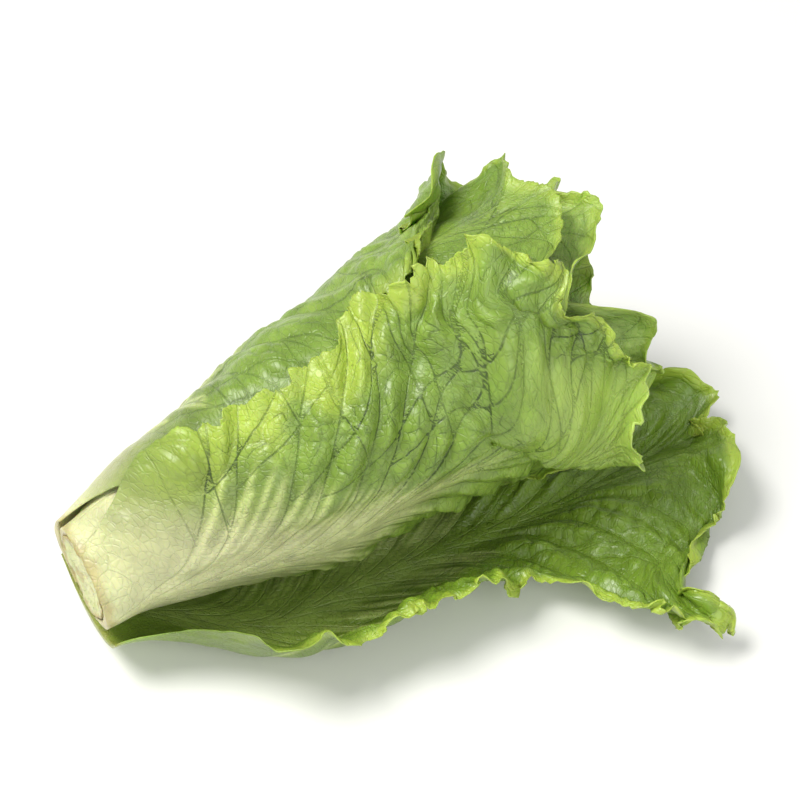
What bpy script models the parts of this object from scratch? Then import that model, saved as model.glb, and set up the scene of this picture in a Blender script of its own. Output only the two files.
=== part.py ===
"""A loose head of green lettuce, cut from its root and lying on its side on a flat surface.

The head points along +X: the cut stem is at the -X end and the leaf tips are at the +X end. +Z is up.
The origin is on the surface, under the flat spot of the lowest leaf's midrib.

Every leaf but the lowest is a curved blade in head coordinates: a station along the head's axis, a bearing
round it (0 is up, a quarter turn is the front, -Y) and a radius. The leaves are laid from the heart outwards.
Each one lies on a smooth cover of those already laid, or further out where its own posture holds it.
The lowest leaf is a cup open to the front, which lies on the surface and carries the rest.
"""

import math
from collections import namedtuple

import bmesh
import bpy
import numpy as np

TURN = 2 * math.pi
GOLDEN_TURN = math.radians(137.5)

# The head as a whole, in metres.
REST_STATION = 0.105
AXIS_BEND = 0.004
BEND_LENGTH = 0.200
CLEARANCE = 0.0010
RUFFLE_CLEARANCE = 0.0013
LOWEST_LEAF_ROOM = 0.0062
BUTT_RISE = 0.011
BUTT_RISE_LENGTH = 0.080

# The cut stem.
STEM_LENGTH = 0.070
STEM_RADIUS = 0.0160
STEM_FLARE = 0.0008
STEM_FLARE_LENGTH = 0.008
STEM_BLUNT = 0.93
STEM_SIDES = 20
STEM_RINGS = 8

# How far a leaf's foot is pressed in to the stem, how much more room a sloping blade takes along the radius,
# and over what difference two lengths are rounded into each other.
FOOT_HUG = 0.009
SLOPE_ROOM = 1.16
LOOSE_REACH = 0.003
TIGHT_REACH = 0.0008

# A blade's thickness: a thin margin and a fleshy midrib that narrows from its foot to its tip.
MARGIN_THICKNESS = 0.0008
RIB_FOOT_THICKNESS = 0.0050
RIB_TIP_THICKNESS = 0.0011
RIB_FOOT_WIDTH = 0.013
RIB_TIP_WIDTH = 0.004

# How round a blade's end is, as the share of its length by which the corners stay behind the middle.
END_ROUNDING = 0.24
END_POWER = 2.4
EVEN_CORNERS = (END_ROUNDING, END_ROUNDING)
END_NARROWING = 0.22

# The waves of a blade's outline, in radians over its length, over its half width, and round its middle.
SIDE_LOBES = (26, 43)
END_LOBES = (8.5, 14)
RUFFLES = 7
BLADE_MIDDLE = 0.42
SECOND_LOBES = 0.5

# The head's surface as a field over stations and bearings.
STATION_STEP = 0.0025
STATIONS = np.arange(-0.01, 0.30, STATION_STEP)
BEARING_COUNT = 144
BEARINGS = np.arange(BEARING_COUNT) * TURN / BEARING_COUNT
COVER_CELLS = 4

GREEN_OUTER = (0.30, 0.46, 0.10, 1.0)
GREEN_INNER = (0.46, 0.60, 0.16, 1.0)
GREEN_HEART = (0.66, 0.74, 0.30, 1.0)
STEM_CREAM = (0.78, 0.78, 0.52, 1.0)

# azimuth is the bearing of the midrib's foot and turn is how far it drifts by the tip, in degrees.
# foot and half_width are half widths of the blade along its arc. open lifts its margins, and lobe and ruffle
# are how far its outline swings in and out and how far its margin waves. corners are the shares of its length
# by which its two corners stay behind, the one on the side of lower bearings first.
Leaf = namedtuple(
    "Leaf",
    "name azimuth turn start length foot half_width foot_radius belly_radius tip_radius"
    " open lobe ruffle phase rows columns colour corners",
    defaults=(EVEN_CORNERS,),
)

FRONT_CORNERS = (0.14, 0.40)
OUTER_LEAVES = (
    Leaf("outer_leaf_top", 330, 8, 0.000, 0.226, 0.019, 0.068, 0.020, 0.040, 0.048,
         0.001, 0.045, 0.0044, 1.7, 21, 14, GREEN_OUTER),
    Leaf("outer_leaf_back", 266, -6, 0.000, 0.226, 0.019, 0.075, 0.021, 0.042, 0.048,
         -0.001, 0.050, 0.0045, 4.1, 23, 16, GREEN_OUTER),
    Leaf("outer_leaf_front", 98, -8, 0.000, 0.224, 0.021, 0.082, 0.021, 0.045, 0.050,
         0.002, 0.040, 0.0055, 0.4, 22, 17, GREEN_OUTER, FRONT_CORNERS),
)

# The leaves between the outer ones and the heart, from the innermost out.
WRAPPER_LEAVES = (
    Leaf("wrapper_leaf_5", 16, 4, 0.031, 0.199, 0.015, 0.047, 0.016, 0.024, 0.028,
         0.001, 0.040, 0.0024, 5.7, 18, 11, GREEN_INNER),
    Leaf("wrapper_leaf_4", 238, 1, 0.028, 0.203, 0.016, 0.051, 0.017, 0.027, 0.031,
         0.001, 0.040, 0.0027, 4.4, 18, 11, GREEN_INNER),
    Leaf("wrapper_leaf_3", 103, -5, 0.025, 0.223, 0.016, 0.055, 0.017, 0.029, 0.036,
         0.002, 0.045, 0.0030, 3.1, 19, 11, GREEN_INNER),
    Leaf("wrapper_leaf_2", 333, 5, 0.021, 0.223, 0.017, 0.059, 0.018, 0.031, 0.038,
         0.002, 0.045, 0.0032, 1.8, 19, 11, GREEN_INNER),
    Leaf("wrapper_leaf_1", 192, 0, 0.018, 0.217, 0.018, 0.062, 0.019, 0.034, 0.042,
         0.003, 0.045, 0.0034, 0.5, 19, 11, GREEN_INNER),
)

# The front leaf's end is folded outwards along a crest that runs slantwise to the tip, with a notch above it.
FOLD_HEIGHT = 0.0095
FOLD_START = 0.66
FOLD_FIRST = -0.24
FOLD_LAST = 0.30
FOLD_REACH = 0.26
NOTCH_DEPTH = 0.055
NOTCH_PLACE = -0.76
NOTCH_WIDTH = 0.09

# The lowest leaf: an open cup on the surface, whose end has fallen flat to the front in pleats, as a fan.
# Each OFF is how far behind the head's middle its midrib lies, so that less than 0 is in front.
# Its front side has a waist before the fan, and its back side is narrower at the end.
LOWEST_LENGTH = 0.284
LOWEST_FOOT = 0.030
LOWEST_HALF_WIDTH = 0.079
LOWEST_FOOT_OFF = -0.003
LOWEST_BELLY_OFF = -0.034
LOWEST_TIP_OFF = -0.046
LOWEST_FOOT_RADIUS = 0.0265
LOWEST_BELLY_RADIUS = 0.042
LOWEST_FLAT_RADIUS = 0.34
LOWEST_FLAT_BACK = 0.038
LOWEST_WAIST = 0.32
LOWEST_WAIST_PLACE = 0.60
LOWEST_WAIST_REACH = 0.14
LOWEST_FAN_WIDTH = 0.088
LOWEST_FAN_NARROWING = 0.10
LOWEST_BACK_NARROWING = 0.36
LOWEST_BACK_LAG = 0.10
LOWEST_FRONT_LAG = 0.28
LOWEST_FRONT_POWER = 1.25
LOWEST_LOBE = 0.05
LOWEST_PHASE = 2.0
LOWEST_RUFFLES = 8
LOWEST_RUFFLE = 0.0045
LOWEST_RUFFLE_REACH = 0.035
LOWEST_PLEAT = 0.012
LOWEST_ROWS = 26
LOWEST_COLUMNS = 16
PRESSED_FLAT = 0.0009

HEART_COUNT = 6


def blend(first, last, share):
    return first + (last - first) * share


def heart_leaves():
    """The small pale leaves in the middle, from the innermost out."""
    leaves = []
    for k in reversed(range(HEART_COUNT)):
        share = k / (HEART_COUNT - 1)
        leaves.append(Leaf(
            f"heart_leaf_{k + 1}",
            azimuth=172 + math.degrees(GOLDEN_TURN) * k,
            turn=4 * math.sin(1.7 * k),
            start=blend(0.034, 0.064, share),
            length=blend(0.168, 0.082, share),
            foot=blend(0.013, 0.006, share),
            half_width=blend(0.042, 0.011, share),
            foot_radius=blend(0.015, 0.006, share),
            belly_radius=blend(0.023, 0.006, share),
            tip_radius=blend(0.027, 0.008, share),
            open=0.0,
            lobe=0.03,
            ruffle=blend(0.0016, 0.0008, share),
            phase=0.9 * k,
            rows=round(blend(14, 9, share)),
            columns=round(blend(9, 6, share)),
            colour=GREEN_HEART,
        ))
    return leaves


def ease(low, high, x):
    """0 below low, 1 above high, and a smooth rise between them."""
    t = np.clip((x - low) / (high - low), 0.0, 1.0)
    return t * t * (3 - 2 * t)


def softer_max(a, b, reach):
    """The larger of two lengths, rounded off where they are within reach of each other."""
    return 0.5 * (a + b + np.sqrt((a - b) ** 2 + reach * reach))


def shifted(field, cells, axis):
    """The field moved by some cells: round the head on axis 1, and held at the ends on axis 0."""
    if axis == 1:
        return np.roll(field, cells, axis=1)
    rows = np.clip(np.arange(field.shape[0]) + cells, 0, field.shape[0] - 1)
    return field[rows]


def averaged(field, cells, axis):
    return np.mean([shifted(field, n, axis) for n in range(-cells, cells + 1)], axis=0)


def smooth_cover(field):
    """A smooth field that is nowhere under the given one. The head's own taper is set aside meanwhile."""
    taper = field.mean(axis=1, keepdims=True) + np.zeros_like(field)
    taper = averaged(averaged(taper, COVER_CELLS + 2, 0), COVER_CELLS, 0)
    cover = field - taper
    for axis in (0, 1):
        cover = np.max([shifted(cover, n, axis) for n in range(-COVER_CELLS, COVER_CELLS + 1)], axis=0)
    for axis in (0, 1):
        cover = averaged(averaged(cover, COVER_CELLS - 2, axis), 1, axis)
    return taper + cover


def sampled(field, station, bearing):
    """The field at any station and bearing, straight between its nearest values."""
    row = np.clip((station - STATIONS[0]) / STATION_STEP, 0, len(STATIONS) - 1.001)
    column = np.mod(bearing, TURN) / TURN * BEARING_COUNT
    i, j = row.astype(int), column.astype(int) % BEARING_COUNT
    a, b = row - i, column - column.astype(int)
    k = (j + 1) % BEARING_COUNT
    near = field[i, j] * (1 - b) + field[i, k] * b
    far = field[i + 1, j] * (1 - b) + field[i + 1, k] * b
    return near * (1 - a) + far * a


def half_width(leaf, u, side=0.0):
    """Half the blade's width at a share of its length: broad soon after the foot, less so at the end.

    On either side (-1 or 1) its lobes are added, which differ between the two.
    """
    widened = blend(leaf.foot, leaf.half_width, 0.62 * ease(-0.02, 0.25, u) + 0.38 * ease(0.15, 0.62, u))
    lobes = np.sin(SIDE_LOBES[0] * u + leaf.phase + 1.9 * side)
    lobes = lobes + SECOND_LOBES * np.sin(SIDE_LOBES[1] * u + 2.1 * leaf.phase - 0.8 * side)
    lobes = leaf.lobe * np.abs(side) * ease(0.12, 0.35, u) * lobes
    return widened * (1 - END_NARROWING * ease(0.72, 1.0, u)) * (1 + lobes)


def corner_lag(v, corners, lobe, phase):
    """By what share of its length a blade's end stays behind at v: rounded corners and a lobed end."""
    lobes = np.sin(END_LOBES[0] * v + phase) + SECOND_LOBES * np.sin(END_LOBES[1] * v + 1.7 * phase)
    rounding = np.where(v < 0, corners[0], corners[1])
    return rounding * np.abs(v) ** END_POWER + 0.4 * lobe * (1 + SECOND_LOBES + lobes)


def end_lag(leaf, v):
    """By what share of its length a leaf's end stays behind at v. The front leaf's end has a notch."""
    lag = corner_lag(v, leaf.corners, leaf.lobe, leaf.phase)
    if leaf.name == "outer_leaf_front":
        lag = lag + NOTCH_DEPTH * np.exp(-(((v - NOTCH_PLACE) / NOTCH_WIDTH) ** 2))
    return lag


def posture(leaf, u):
    """The radius that the leaf's middle would hold by itself."""
    belly = blend(leaf.foot_radius, leaf.belly_radius, ease(0.0, 0.48, u))
    return belly + (leaf.tip_radius - leaf.belly_radius) * ease(0.5, 1.0, u)


def station_of(leaf, u, v):
    return leaf.start + leaf.length * (u - end_lag(leaf, v) * u**3)


def bearing_of(leaf, u, v):
    middle = math.radians(leaf.azimuth) + math.radians(leaf.turn) * u * u
    return middle + v * half_width(leaf, u, np.sign(v)) / posture(leaf, u)


def blade_place(leaf, station, bearing):
    """Shares along and across the blade at a station and bearing, by Newton's method, and if it is on it."""
    along = (station - leaf.start) / leaf.length
    u = np.clip(along, 0.0, 1.0)
    for _ in range(8):
        middle = math.radians(leaf.azimuth) + math.radians(leaf.turn) * u * u
        off = np.mod(bearing - middle + math.pi, TURN) - math.pi
        v = off * posture(leaf, u) / half_width(leaf, u, np.sign(off))
        lag = end_lag(leaf, np.clip(v, -1.15, 1.15))
        u = np.clip(u - (u - lag * u**3 - along) / (1 - 3 * lag * u * u), 0.0, 1.1)
    on_blade = (along >= 0) & (u <= 1.0) & (np.abs(v) <= 1.0)
    return u, v, on_blade


def thickness(u, v, full_width):
    """The thickness of a blade of some full half width: fleshy at the midrib's foot, thin at the margins."""
    share = full_width / LOWEST_HALF_WIDTH
    rib = blend(RIB_FOOT_THICKNESS * share, RIB_TIP_THICKNESS, ease(-0.2, 0.62, u))
    rib_width = blend(RIB_FOOT_WIDTH * share, RIB_TIP_WIDTH, ease(0.0, 0.7, u))
    across = v * full_width * blend(0.3, 1.0, ease(0.0, 0.5, u))
    return MARGIN_THICKNESS + np.maximum(rib - MARGIN_THICKNESS, 0) * np.exp(-((across / rib_width) ** 2))


def margin_share(leaf, u, v):
    """1 on the blade's edge, falling to 0 inside it, and 0 at its foot."""
    reach = 0.5 * leaf.half_width
    from_side = ease(0, 1, (1 - np.minimum(np.abs(v), 1)) * half_width(leaf, u) / reach)
    from_end = ease(0, 1, (1 - np.minimum(u, 1)) * leaf.length / reach)
    return (1 - from_side * from_end) * (0.45 * ease(0.06, 0.3, u) + 0.55 * ease(0.5, 0.9, u))


def ruffle(leaf, u, v):
    """How far the waved margin stands out, from 0 up. The waves run round the blade's outline."""
    round_edge = np.arctan2(v * half_width(leaf, u), (u - BLADE_MIDDLE) * leaf.length)
    waves = RUFFLES * round_edge + 0.9 * np.sin(3 * round_edge + leaf.phase) + leaf.phase
    uneven = 0.72 + 0.28 * np.sin(2 * round_edge + 2.3 * leaf.phase)
    return leaf.ruffle * uneven * margin_share(leaf, u, v) * (1 + np.sin(waves))


def fold(leaf, u, v):
    """How far the front leaf's end is folded outwards."""
    if leaf.name != "outer_leaf_front":
        return 0.0
    middle = blend(FOLD_FIRST, FOLD_LAST, ease(FOLD_START, 1.0, u))
    above = (v - middle) / FOLD_REACH
    return FOLD_HEIGHT * ease(FOLD_START, 0.86, u) * ease(-2.2, -0.4, above) * (1 - ease(-0.4, 0.6, above))


def laid_radius(leaf, u, v, cover):
    """The radius of the blade's middle surface: on the cover of what is inside it, or at its own posture."""
    edge = margin_share(leaf, u, v)
    half_thick = 0.5 * SLOPE_ROOM * thickness(u, v, leaf.half_width)
    on_cover = sampled(cover, station_of(leaf, u, v), bearing_of(leaf, u, v))
    on_cover = on_cover + CLEARANCE + RUFFLE_CLEARANCE * edge + half_thick
    own = posture(leaf, u) - FOOT_HUG * (1 - ease(0.0, 0.3, u)) + leaf.open * v * v * ease(0.1, 0.7, u)
    return softer_max(on_cover, own, LOOSE_REACH) + ruffle(leaf, u, v) + fold(leaf, u, v)


def stem_radius(station):
    """The stem's radius: nearly even at the cut, then drawn in to a blunt point inside the heart."""
    share = np.clip(station / STEM_LENGTH, 0.0, 1.0)
    return STEM_RADIUS * np.sqrt(np.maximum(1 - share**2.2, 0.0))


def lay_leaves(leaves):
    """Lays the leaves from the heart outwards. Gives each one's cover, and the field that is taken at last."""
    grid_station, grid_bearing = np.meshgrid(STATIONS, BEARINGS, indexing="ij")
    taken = stem_radius(grid_station)
    covers = []
    for leaf in leaves:
        cover = smooth_cover(taken)
        covers.append(cover)
        u, v, on_blade = blade_place(leaf, grid_station, grid_bearing)
        u, v = np.clip(u, 0, 1), np.clip(v, -1, 1)
        half_thick = 0.5 * SLOPE_ROOM * thickness(u, v, leaf.half_width)
        outside = laid_radius(leaf, u, v, cover) + half_thick
        taken = np.where(on_blade, np.maximum(taken, outside), taken)
    return covers, taken


def butt_rise(station):
    """How far the cut end is held up by the belly that the head lies on."""
    return BUTT_RISE * (1 - ease(0, BUTT_RISE_LENGTH, station))


def axis_height_curve(taken):
    """The axis height at each station: the head's underside lies along the surface, on the lowest leaf."""
    below = np.max(taken * np.maximum(-np.cos(BEARINGS), 0), axis=1)
    height = np.maximum.accumulate(below)
    for _ in range(3):
        padded = np.pad(height, 6, mode="edge")
        height = np.maximum(height, np.convolve(padded, np.ones(13) / 13, mode="valid"))
    return height + LOWEST_LEAF_ROOM + butt_rise(STATIONS)


def in_space(station, bearing, radius, axis_heights):
    """Head coordinates to x, y, z."""
    height = np.interp(station, STATIONS, axis_heights)
    bend = AXIS_BEND * (station / BEND_LENGTH) ** 2
    x = station - REST_STATION
    y = bend - radius * np.sin(bearing)
    z = height + radius * np.cos(bearing)
    return np.stack([x, y, z], axis=-1)


def normals_of(points):
    """Unit normals of a grid of points, from the steps along it and across it."""
    along = np.gradient(points, axis=0)
    across = np.gradient(points, axis=1)
    normal = np.cross(across, along)
    return normal / np.linalg.norm(normal, axis=-1, keepdims=True)


def blade_grid(rows, columns):
    """Shares along and across a blade, a row for each step along it."""
    return np.meshgrid(np.linspace(0, 1, rows + 1), np.linspace(-1, 1, columns + 1), indexing="ij")


def closed_blade(name, outer, inner, colour):
    """One solid from the blade's outer and inner grids, split alike into triangles on both sides."""
    rows, columns = outer.shape[:2]
    mesh = bmesh.new()
    out = [[mesh.verts.new(p) for p in row] for row in outer]
    back = [[mesh.verts.new(p) for p in row] for row in inner]
    for i in range(rows - 1):
        for j in range(columns - 1):
            corners = [(i, j), (i + 1, j), (i + 1, j + 1), (i, j + 1)]
            halves = ((0, 1, 2), (0, 2, 3)) if (i + j) % 2 else ((0, 1, 3), (1, 2, 3))
            for half in halves:
                mesh.faces.new([out[corners[n][0]][corners[n][1]] for n in half])
                mesh.faces.new([back[corners[n][0]][corners[n][1]] for n in reversed(half)])
    rim = [(i, 0) for i in range(rows)] + [(rows - 1, j) for j in range(1, columns)]
    rim += [(i, columns - 1) for i in range(rows - 2, -1, -1)] + [(0, j) for j in range(columns - 2, 0, -1)]
    for (i, j), (k, m) in zip(rim, rim[1:] + rim[:1]):
        mesh.faces.new([out[k][m], out[i][j], back[i][j]])
        mesh.faces.new([out[k][m], back[i][j], back[k][m]])
    bmesh.ops.recalc_face_normals(mesh, faces=mesh.faces)
    return finished(name, mesh, colour)


def finished(name, mesh, colour, roughness=0.45):
    """An object from the bmesh, smooth-shaded, with its own material."""
    data = bpy.data.meshes.new(name)
    mesh.to_mesh(data)
    mesh.free()
    data.shade_smooth()
    data.set_sharp_from_angle(angle=math.radians(60))
    material = bpy.data.materials.new(name)
    material.use_nodes = True
    shader = material.node_tree.nodes["Principled BSDF"]
    shader.inputs["Base Color"].default_value = colour
    shader.inputs["Roughness"].default_value = roughness
    shader.inputs["Metallic"].default_value = 0.0
    data.materials.append(material)
    made = bpy.data.objects.new(name, data)
    bpy.context.scene.collection.objects.link(made)
    return made


def make_leaf(leaf, cover, axis_heights):
    """A leaf in the head, as one closed blade."""
    u, v = blade_grid(leaf.rows, leaf.columns)
    radius = laid_radius(leaf, u, v, cover)
    middle = in_space(station_of(leaf, u, v), bearing_of(leaf, u, v), radius, axis_heights)
    step = normals_of(middle) * (0.5 * thickness(u, v, leaf.half_width))[..., None]
    return closed_blade(leaf.name, middle + step, middle - step, leaf.colour)


def lowest_half_width(u, v):
    """Half the lowest leaf's width, with its lobes."""
    wide = blend(LOWEST_FOOT, LOWEST_HALF_WIDTH, 0.6 * ease(-0.02, 0.25, u) + 0.4 * ease(0.2, 0.75, u))
    lobes = np.sin(SIDE_LOBES[0] * u + 1.5 * v) + SECOND_LOBES * np.sin(SIDE_LOBES[1] * u - 2.0 * v)
    lobes = LOWEST_LOBE * ease(0.3, 1.0, np.abs(v)) * ease(0.12, 0.35, u) * lobes
    waist = LOWEST_WAIST * np.exp(-(((u - LOWEST_WAIST_PLACE) / LOWEST_WAIST_REACH) ** 2))
    fan = LOWEST_FAN_WIDTH * (1 - LOWEST_FAN_NARROWING * ease(0.9, 1.0, u))
    front = blend(wide * (1 - waist), fan, ease(0.68, 0.94, u))
    back = wide * (1 - LOWEST_BACK_NARROWING * ease(0.6, 1.0, u))
    return np.where(v > 0, front, back) * (1 + lobes)


def lowest_station(u, v):
    """The station of a place on the lowest leaf, v being 1 in front. Its front corner stays far behind."""
    lag = corner_lag(v, (LOWEST_BACK_LAG, 0.0), LOWEST_LOBE, LOWEST_PHASE)
    lag = lag + LOWEST_FRONT_LAG * np.maximum(v, 0.0) ** LOWEST_FRONT_POWER
    return LOWEST_LENGTH * (u - lag * u**3)


def lowest_section(u, v, wide, half_thick):
    """Where the lowest leaf lies by itself, v being 1 in front: how far behind the axis, and how high."""
    off = blend(LOWEST_FOOT_OFF, LOWEST_BELLY_OFF, ease(0, 0.24, u))
    off = blend(off, LOWEST_TIP_OFF, ease(0.4, 1, u))
    curve = blend(1 / LOWEST_FOOT_RADIUS, 1 / LOWEST_BELLY_RADIUS, ease(0, 0.3, u))
    curve = blend(curve, 1 / LOWEST_FLAT_RADIUS, ease(0.45, 0.85, u))
    # Behind the midrib the weight of the head keeps a strip of it flat before it curves up.
    pressed = LOWEST_FLAT_BACK * ease(0, 0.3, u)
    across = v * wide
    arc = np.maximum(across, 0) + np.minimum(across + pressed, 0)
    strip = np.clip(across, -pressed, 0)
    y = off - np.sin(curve * arc) / curve - strip
    z = (1 - np.cos(curve * arc)) / curve + half_thick - PRESSED_FLAT
    return y, z


def lowest_waves(u, v, wide):
    """How far the lowest leaf's margin waves up, and how high its pleats stand."""
    round_edge = np.arctan2(v * wide, (u - BLADE_MIDDLE) * LOWEST_LENGTH)
    from_side = ease(0, 1, (1 - np.abs(v)) * wide / LOWEST_RUFFLE_REACH)
    from_end = ease(0, 1, (1 - u) * LOWEST_LENGTH / LOWEST_RUFFLE_REACH)
    waves = 1 + np.sin(LOWEST_RUFFLES * round_edge + 0.8 * np.sin(3 * round_edge + 1.0))
    waves = waves * (1 - from_side * from_end) * ease(0.05, 0.25, u) * ease(0.0, 0.3, np.abs(v))
    pleats = 0.5 - 0.5 * np.cos(TURN * 1.5 * (v + 0.15))
    return LOWEST_RUFFLE * waves + LOWEST_PLEAT * pleats * ease(0.62, 0.9, u) * np.sqrt(1 - v * v)


def lowest_middle(u, v, cover, axis_heights):
    """The lowest leaf's middle surface and half its thickness. The head keeps it outside its cover."""
    wide = lowest_half_width(u, v)
    half_thick = 0.5 * thickness(u, v, LOWEST_HALF_WIDTH)
    station = lowest_station(u, v)
    y, z = lowest_section(u, v, wide, half_thick)
    z = z + lowest_waves(u, v, wide) + butt_rise(station)
    from_axis = z - np.interp(station, STATIONS, axis_heights)
    across = y - AXIS_BEND * (station / BEND_LENGTH) ** 2
    bearing = np.arctan2(-across, from_axis)
    room = sampled(cover, station, bearing) + CLEARANCE + RUFFLE_CLEARANCE + SLOPE_ROOM * half_thick
    radius = softer_max(np.hypot(across, from_axis), room, TIGHT_REACH)
    return in_space(station, bearing, radius, axis_heights), half_thick


def make_lowest_leaf(cover, axis_heights):
    """The leaf that the head lies on. It is pressed flat where it rests."""
    u, v = blade_grid(LOWEST_ROWS, LOWEST_COLUMNS)
    middle, half_thick = lowest_middle(u, -v, cover, axis_heights)
    step = normals_of(middle) * half_thick[..., None]
    outer, inner = middle + step, middle - step
    outer[..., 2] = np.maximum(outer[..., 2], 0.0)
    inner[..., 2] = np.maximum(inner[..., 2], MARGIN_THICKNESS)
    return closed_blade("outer_leaf_lowest", outer, inner, GREEN_OUTER)


def make_stem(axis_heights):
    """The cut stem: a disc at the -X end that narrows into the heart."""
    stations = STEM_LENGTH * STEM_BLUNT * np.linspace(0, 1, STEM_RINGS) ** 1.3
    bearings = np.arange(STEM_SIDES) * TURN / STEM_SIDES
    grid_station, grid_bearing = np.meshgrid(stations, bearings, indexing="ij")
    radius = stem_radius(grid_station) + STEM_FLARE * (1 - ease(0, STEM_FLARE_LENGTH, grid_station))
    points = in_space(grid_station, grid_bearing, radius, axis_heights)
    mesh = bmesh.new()
    rings = [[mesh.verts.new(p) for p in ring] for ring in points]
    for near, far in zip(rings, rings[1:]):
        for j in range(STEM_SIDES):
            k = (j + 1) % STEM_SIDES
            mesh.faces.new([near[j], near[k], far[k], far[j]])
    for ring in (rings[0], rings[-1]):
        mesh.faces.new(ring)
    bmesh.ops.recalc_face_normals(mesh, faces=mesh.faces)
    return finished("cut_stem", mesh, STEM_CREAM, 0.6)


def main():
    for old in list(bpy.data.objects):
        bpy.data.objects.remove(old)
    leaves = heart_leaves() + list(WRAPPER_LEAVES + OUTER_LEAVES)
    covers, taken = lay_leaves(leaves)
    axis_heights = axis_height_curve(taken)
    make_stem(axis_heights)
    for leaf, cover in zip(leaves, covers):
        make_leaf(leaf, cover, axis_heights)
    make_lowest_leaf(smooth_cover(taken), axis_heights)


main()
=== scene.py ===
"""The looks of the lettuce: finely waved, veined and puffed leaves, its cut stem, the floor and soft light.

Every leaf is laid as its solid is: in head coordinates, which are a station along the head's axis, a
bearing round it that is 0 for up and a quarter turn for the front, and a radius. Leaves are laid from the
heart outwards, each on a smooth cover of those inside it. Here the grids are fine, and relief, curled margins
and colour are added.
"""

import math
from collections import namedtuple

import bpy
import numpy as np
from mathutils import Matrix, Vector


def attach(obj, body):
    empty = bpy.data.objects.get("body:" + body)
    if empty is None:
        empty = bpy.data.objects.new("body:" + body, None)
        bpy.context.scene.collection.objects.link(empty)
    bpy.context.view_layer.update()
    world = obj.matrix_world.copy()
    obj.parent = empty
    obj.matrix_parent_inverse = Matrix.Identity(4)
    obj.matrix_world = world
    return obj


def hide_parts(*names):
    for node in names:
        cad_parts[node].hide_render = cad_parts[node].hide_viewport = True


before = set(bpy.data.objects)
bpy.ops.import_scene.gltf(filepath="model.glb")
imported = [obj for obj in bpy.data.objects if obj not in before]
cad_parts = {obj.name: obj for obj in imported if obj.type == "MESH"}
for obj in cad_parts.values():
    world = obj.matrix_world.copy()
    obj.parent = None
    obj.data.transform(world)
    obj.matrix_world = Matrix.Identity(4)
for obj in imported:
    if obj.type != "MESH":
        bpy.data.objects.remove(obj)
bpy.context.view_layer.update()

TURN = 2 * math.pi
GOLDEN_TURN = math.radians(137.5)

# The head as a whole, in metres.
REST_STATION = 0.105
AXIS_BEND = 0.004
BEND_LENGTH = 0.200
CLEARANCE = 0.0010
RUFFLE_CLEARANCE = 0.0013
LOWEST_LEAF_ROOM = 0.0062
BUTT_RISE = 0.011
BUTT_RISE_LENGTH = 0.080

# The cut stem.
STEM_LENGTH = 0.070
STEM_RADIUS = 0.0160
STEM_FLARE = 0.0014
STEM_FLARE_LENGTH = 0.008
STEM_BLUNT = 0.93
STEM_SIDES = 160
STEM_RINGS = 60
STEM_FACE_RINGS = 36

# How far a leaf's foot is pressed in to the stem, how much more room a sloping blade takes along the radius,
# and over what difference two lengths are rounded into each other.
FOOT_HUG = 0.009
SLOPE_ROOM = 1.16
LOOSE_REACH = 0.003
TIGHT_REACH = 0.0008

# A blade's thickness: a thin margin and a fleshy midrib that narrows from its foot to its tip.
MARGIN_THICKNESS = 0.0008
SHOWN_MARGIN_THICKNESS = 0.0005
RIB_FOOT_THICKNESS = 0.0050
RIB_TIP_THICKNESS = 0.0011
RIB_FOOT_WIDTH = 0.013
RIB_TIP_WIDTH = 0.004

# How round a blade's end is, as the share of its length by which the corners stay behind the middle.
END_ROUNDING = 0.24
END_POWER = 2.4
EVEN_CORNERS = (END_ROUNDING, END_ROUNDING)
END_NARROWING = 0.22

# The waves of a blade's outline, in radians over its length, over its half width, and round its middle.
SIDE_LOBES = (26, 43)
END_LOBES = (8.5, 14)
RUFFLES = 7
BLADE_MIDDLE = 0.42
SECOND_LOBES = 0.5

# The head's surface as a field over stations and bearings.
STATION_STEP = 0.0025
STATIONS = np.arange(-0.01, 0.30, STATION_STEP)
BEARING_COUNT = 144
BEARINGS = np.arange(BEARING_COUNT) * TURN / BEARING_COUNT
COVER_CELLS = 4

# azimuth is the bearing of the midrib's foot and turn is how far it drifts by the tip, in degrees.
# foot and half_width are half widths of the blade along its arc. open lifts its margins, and lobe and ruffle
# are how far its outline swings in and out and how far its margin waves. corners are the shares of its length
# by which its two corners stay behind, the one on the side of lower bearings first.
Leaf = namedtuple(
    "Leaf",
    "name azimuth turn start length foot half_width foot_radius belly_radius tip_radius"
    " open lobe ruffle phase corners",
    defaults=(EVEN_CORNERS,),
)

FRONT_CORNERS = (0.14, 0.40)
OUTER_LEAVES = (
    Leaf("outer_leaf_top", 330, 8, 0.000, 0.226, 0.019, 0.068, 0.020, 0.040, 0.048,
         0.001, 0.045, 0.0044, 1.7),
    Leaf("outer_leaf_back", 266, -6, 0.000, 0.226, 0.019, 0.075, 0.021, 0.042, 0.048,
         -0.001, 0.050, 0.0045, 4.1),
    Leaf("outer_leaf_front", 98, -8, 0.000, 0.224, 0.021, 0.082, 0.021, 0.045, 0.050,
         0.002, 0.040, 0.0055, 0.4, FRONT_CORNERS),
)

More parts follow.
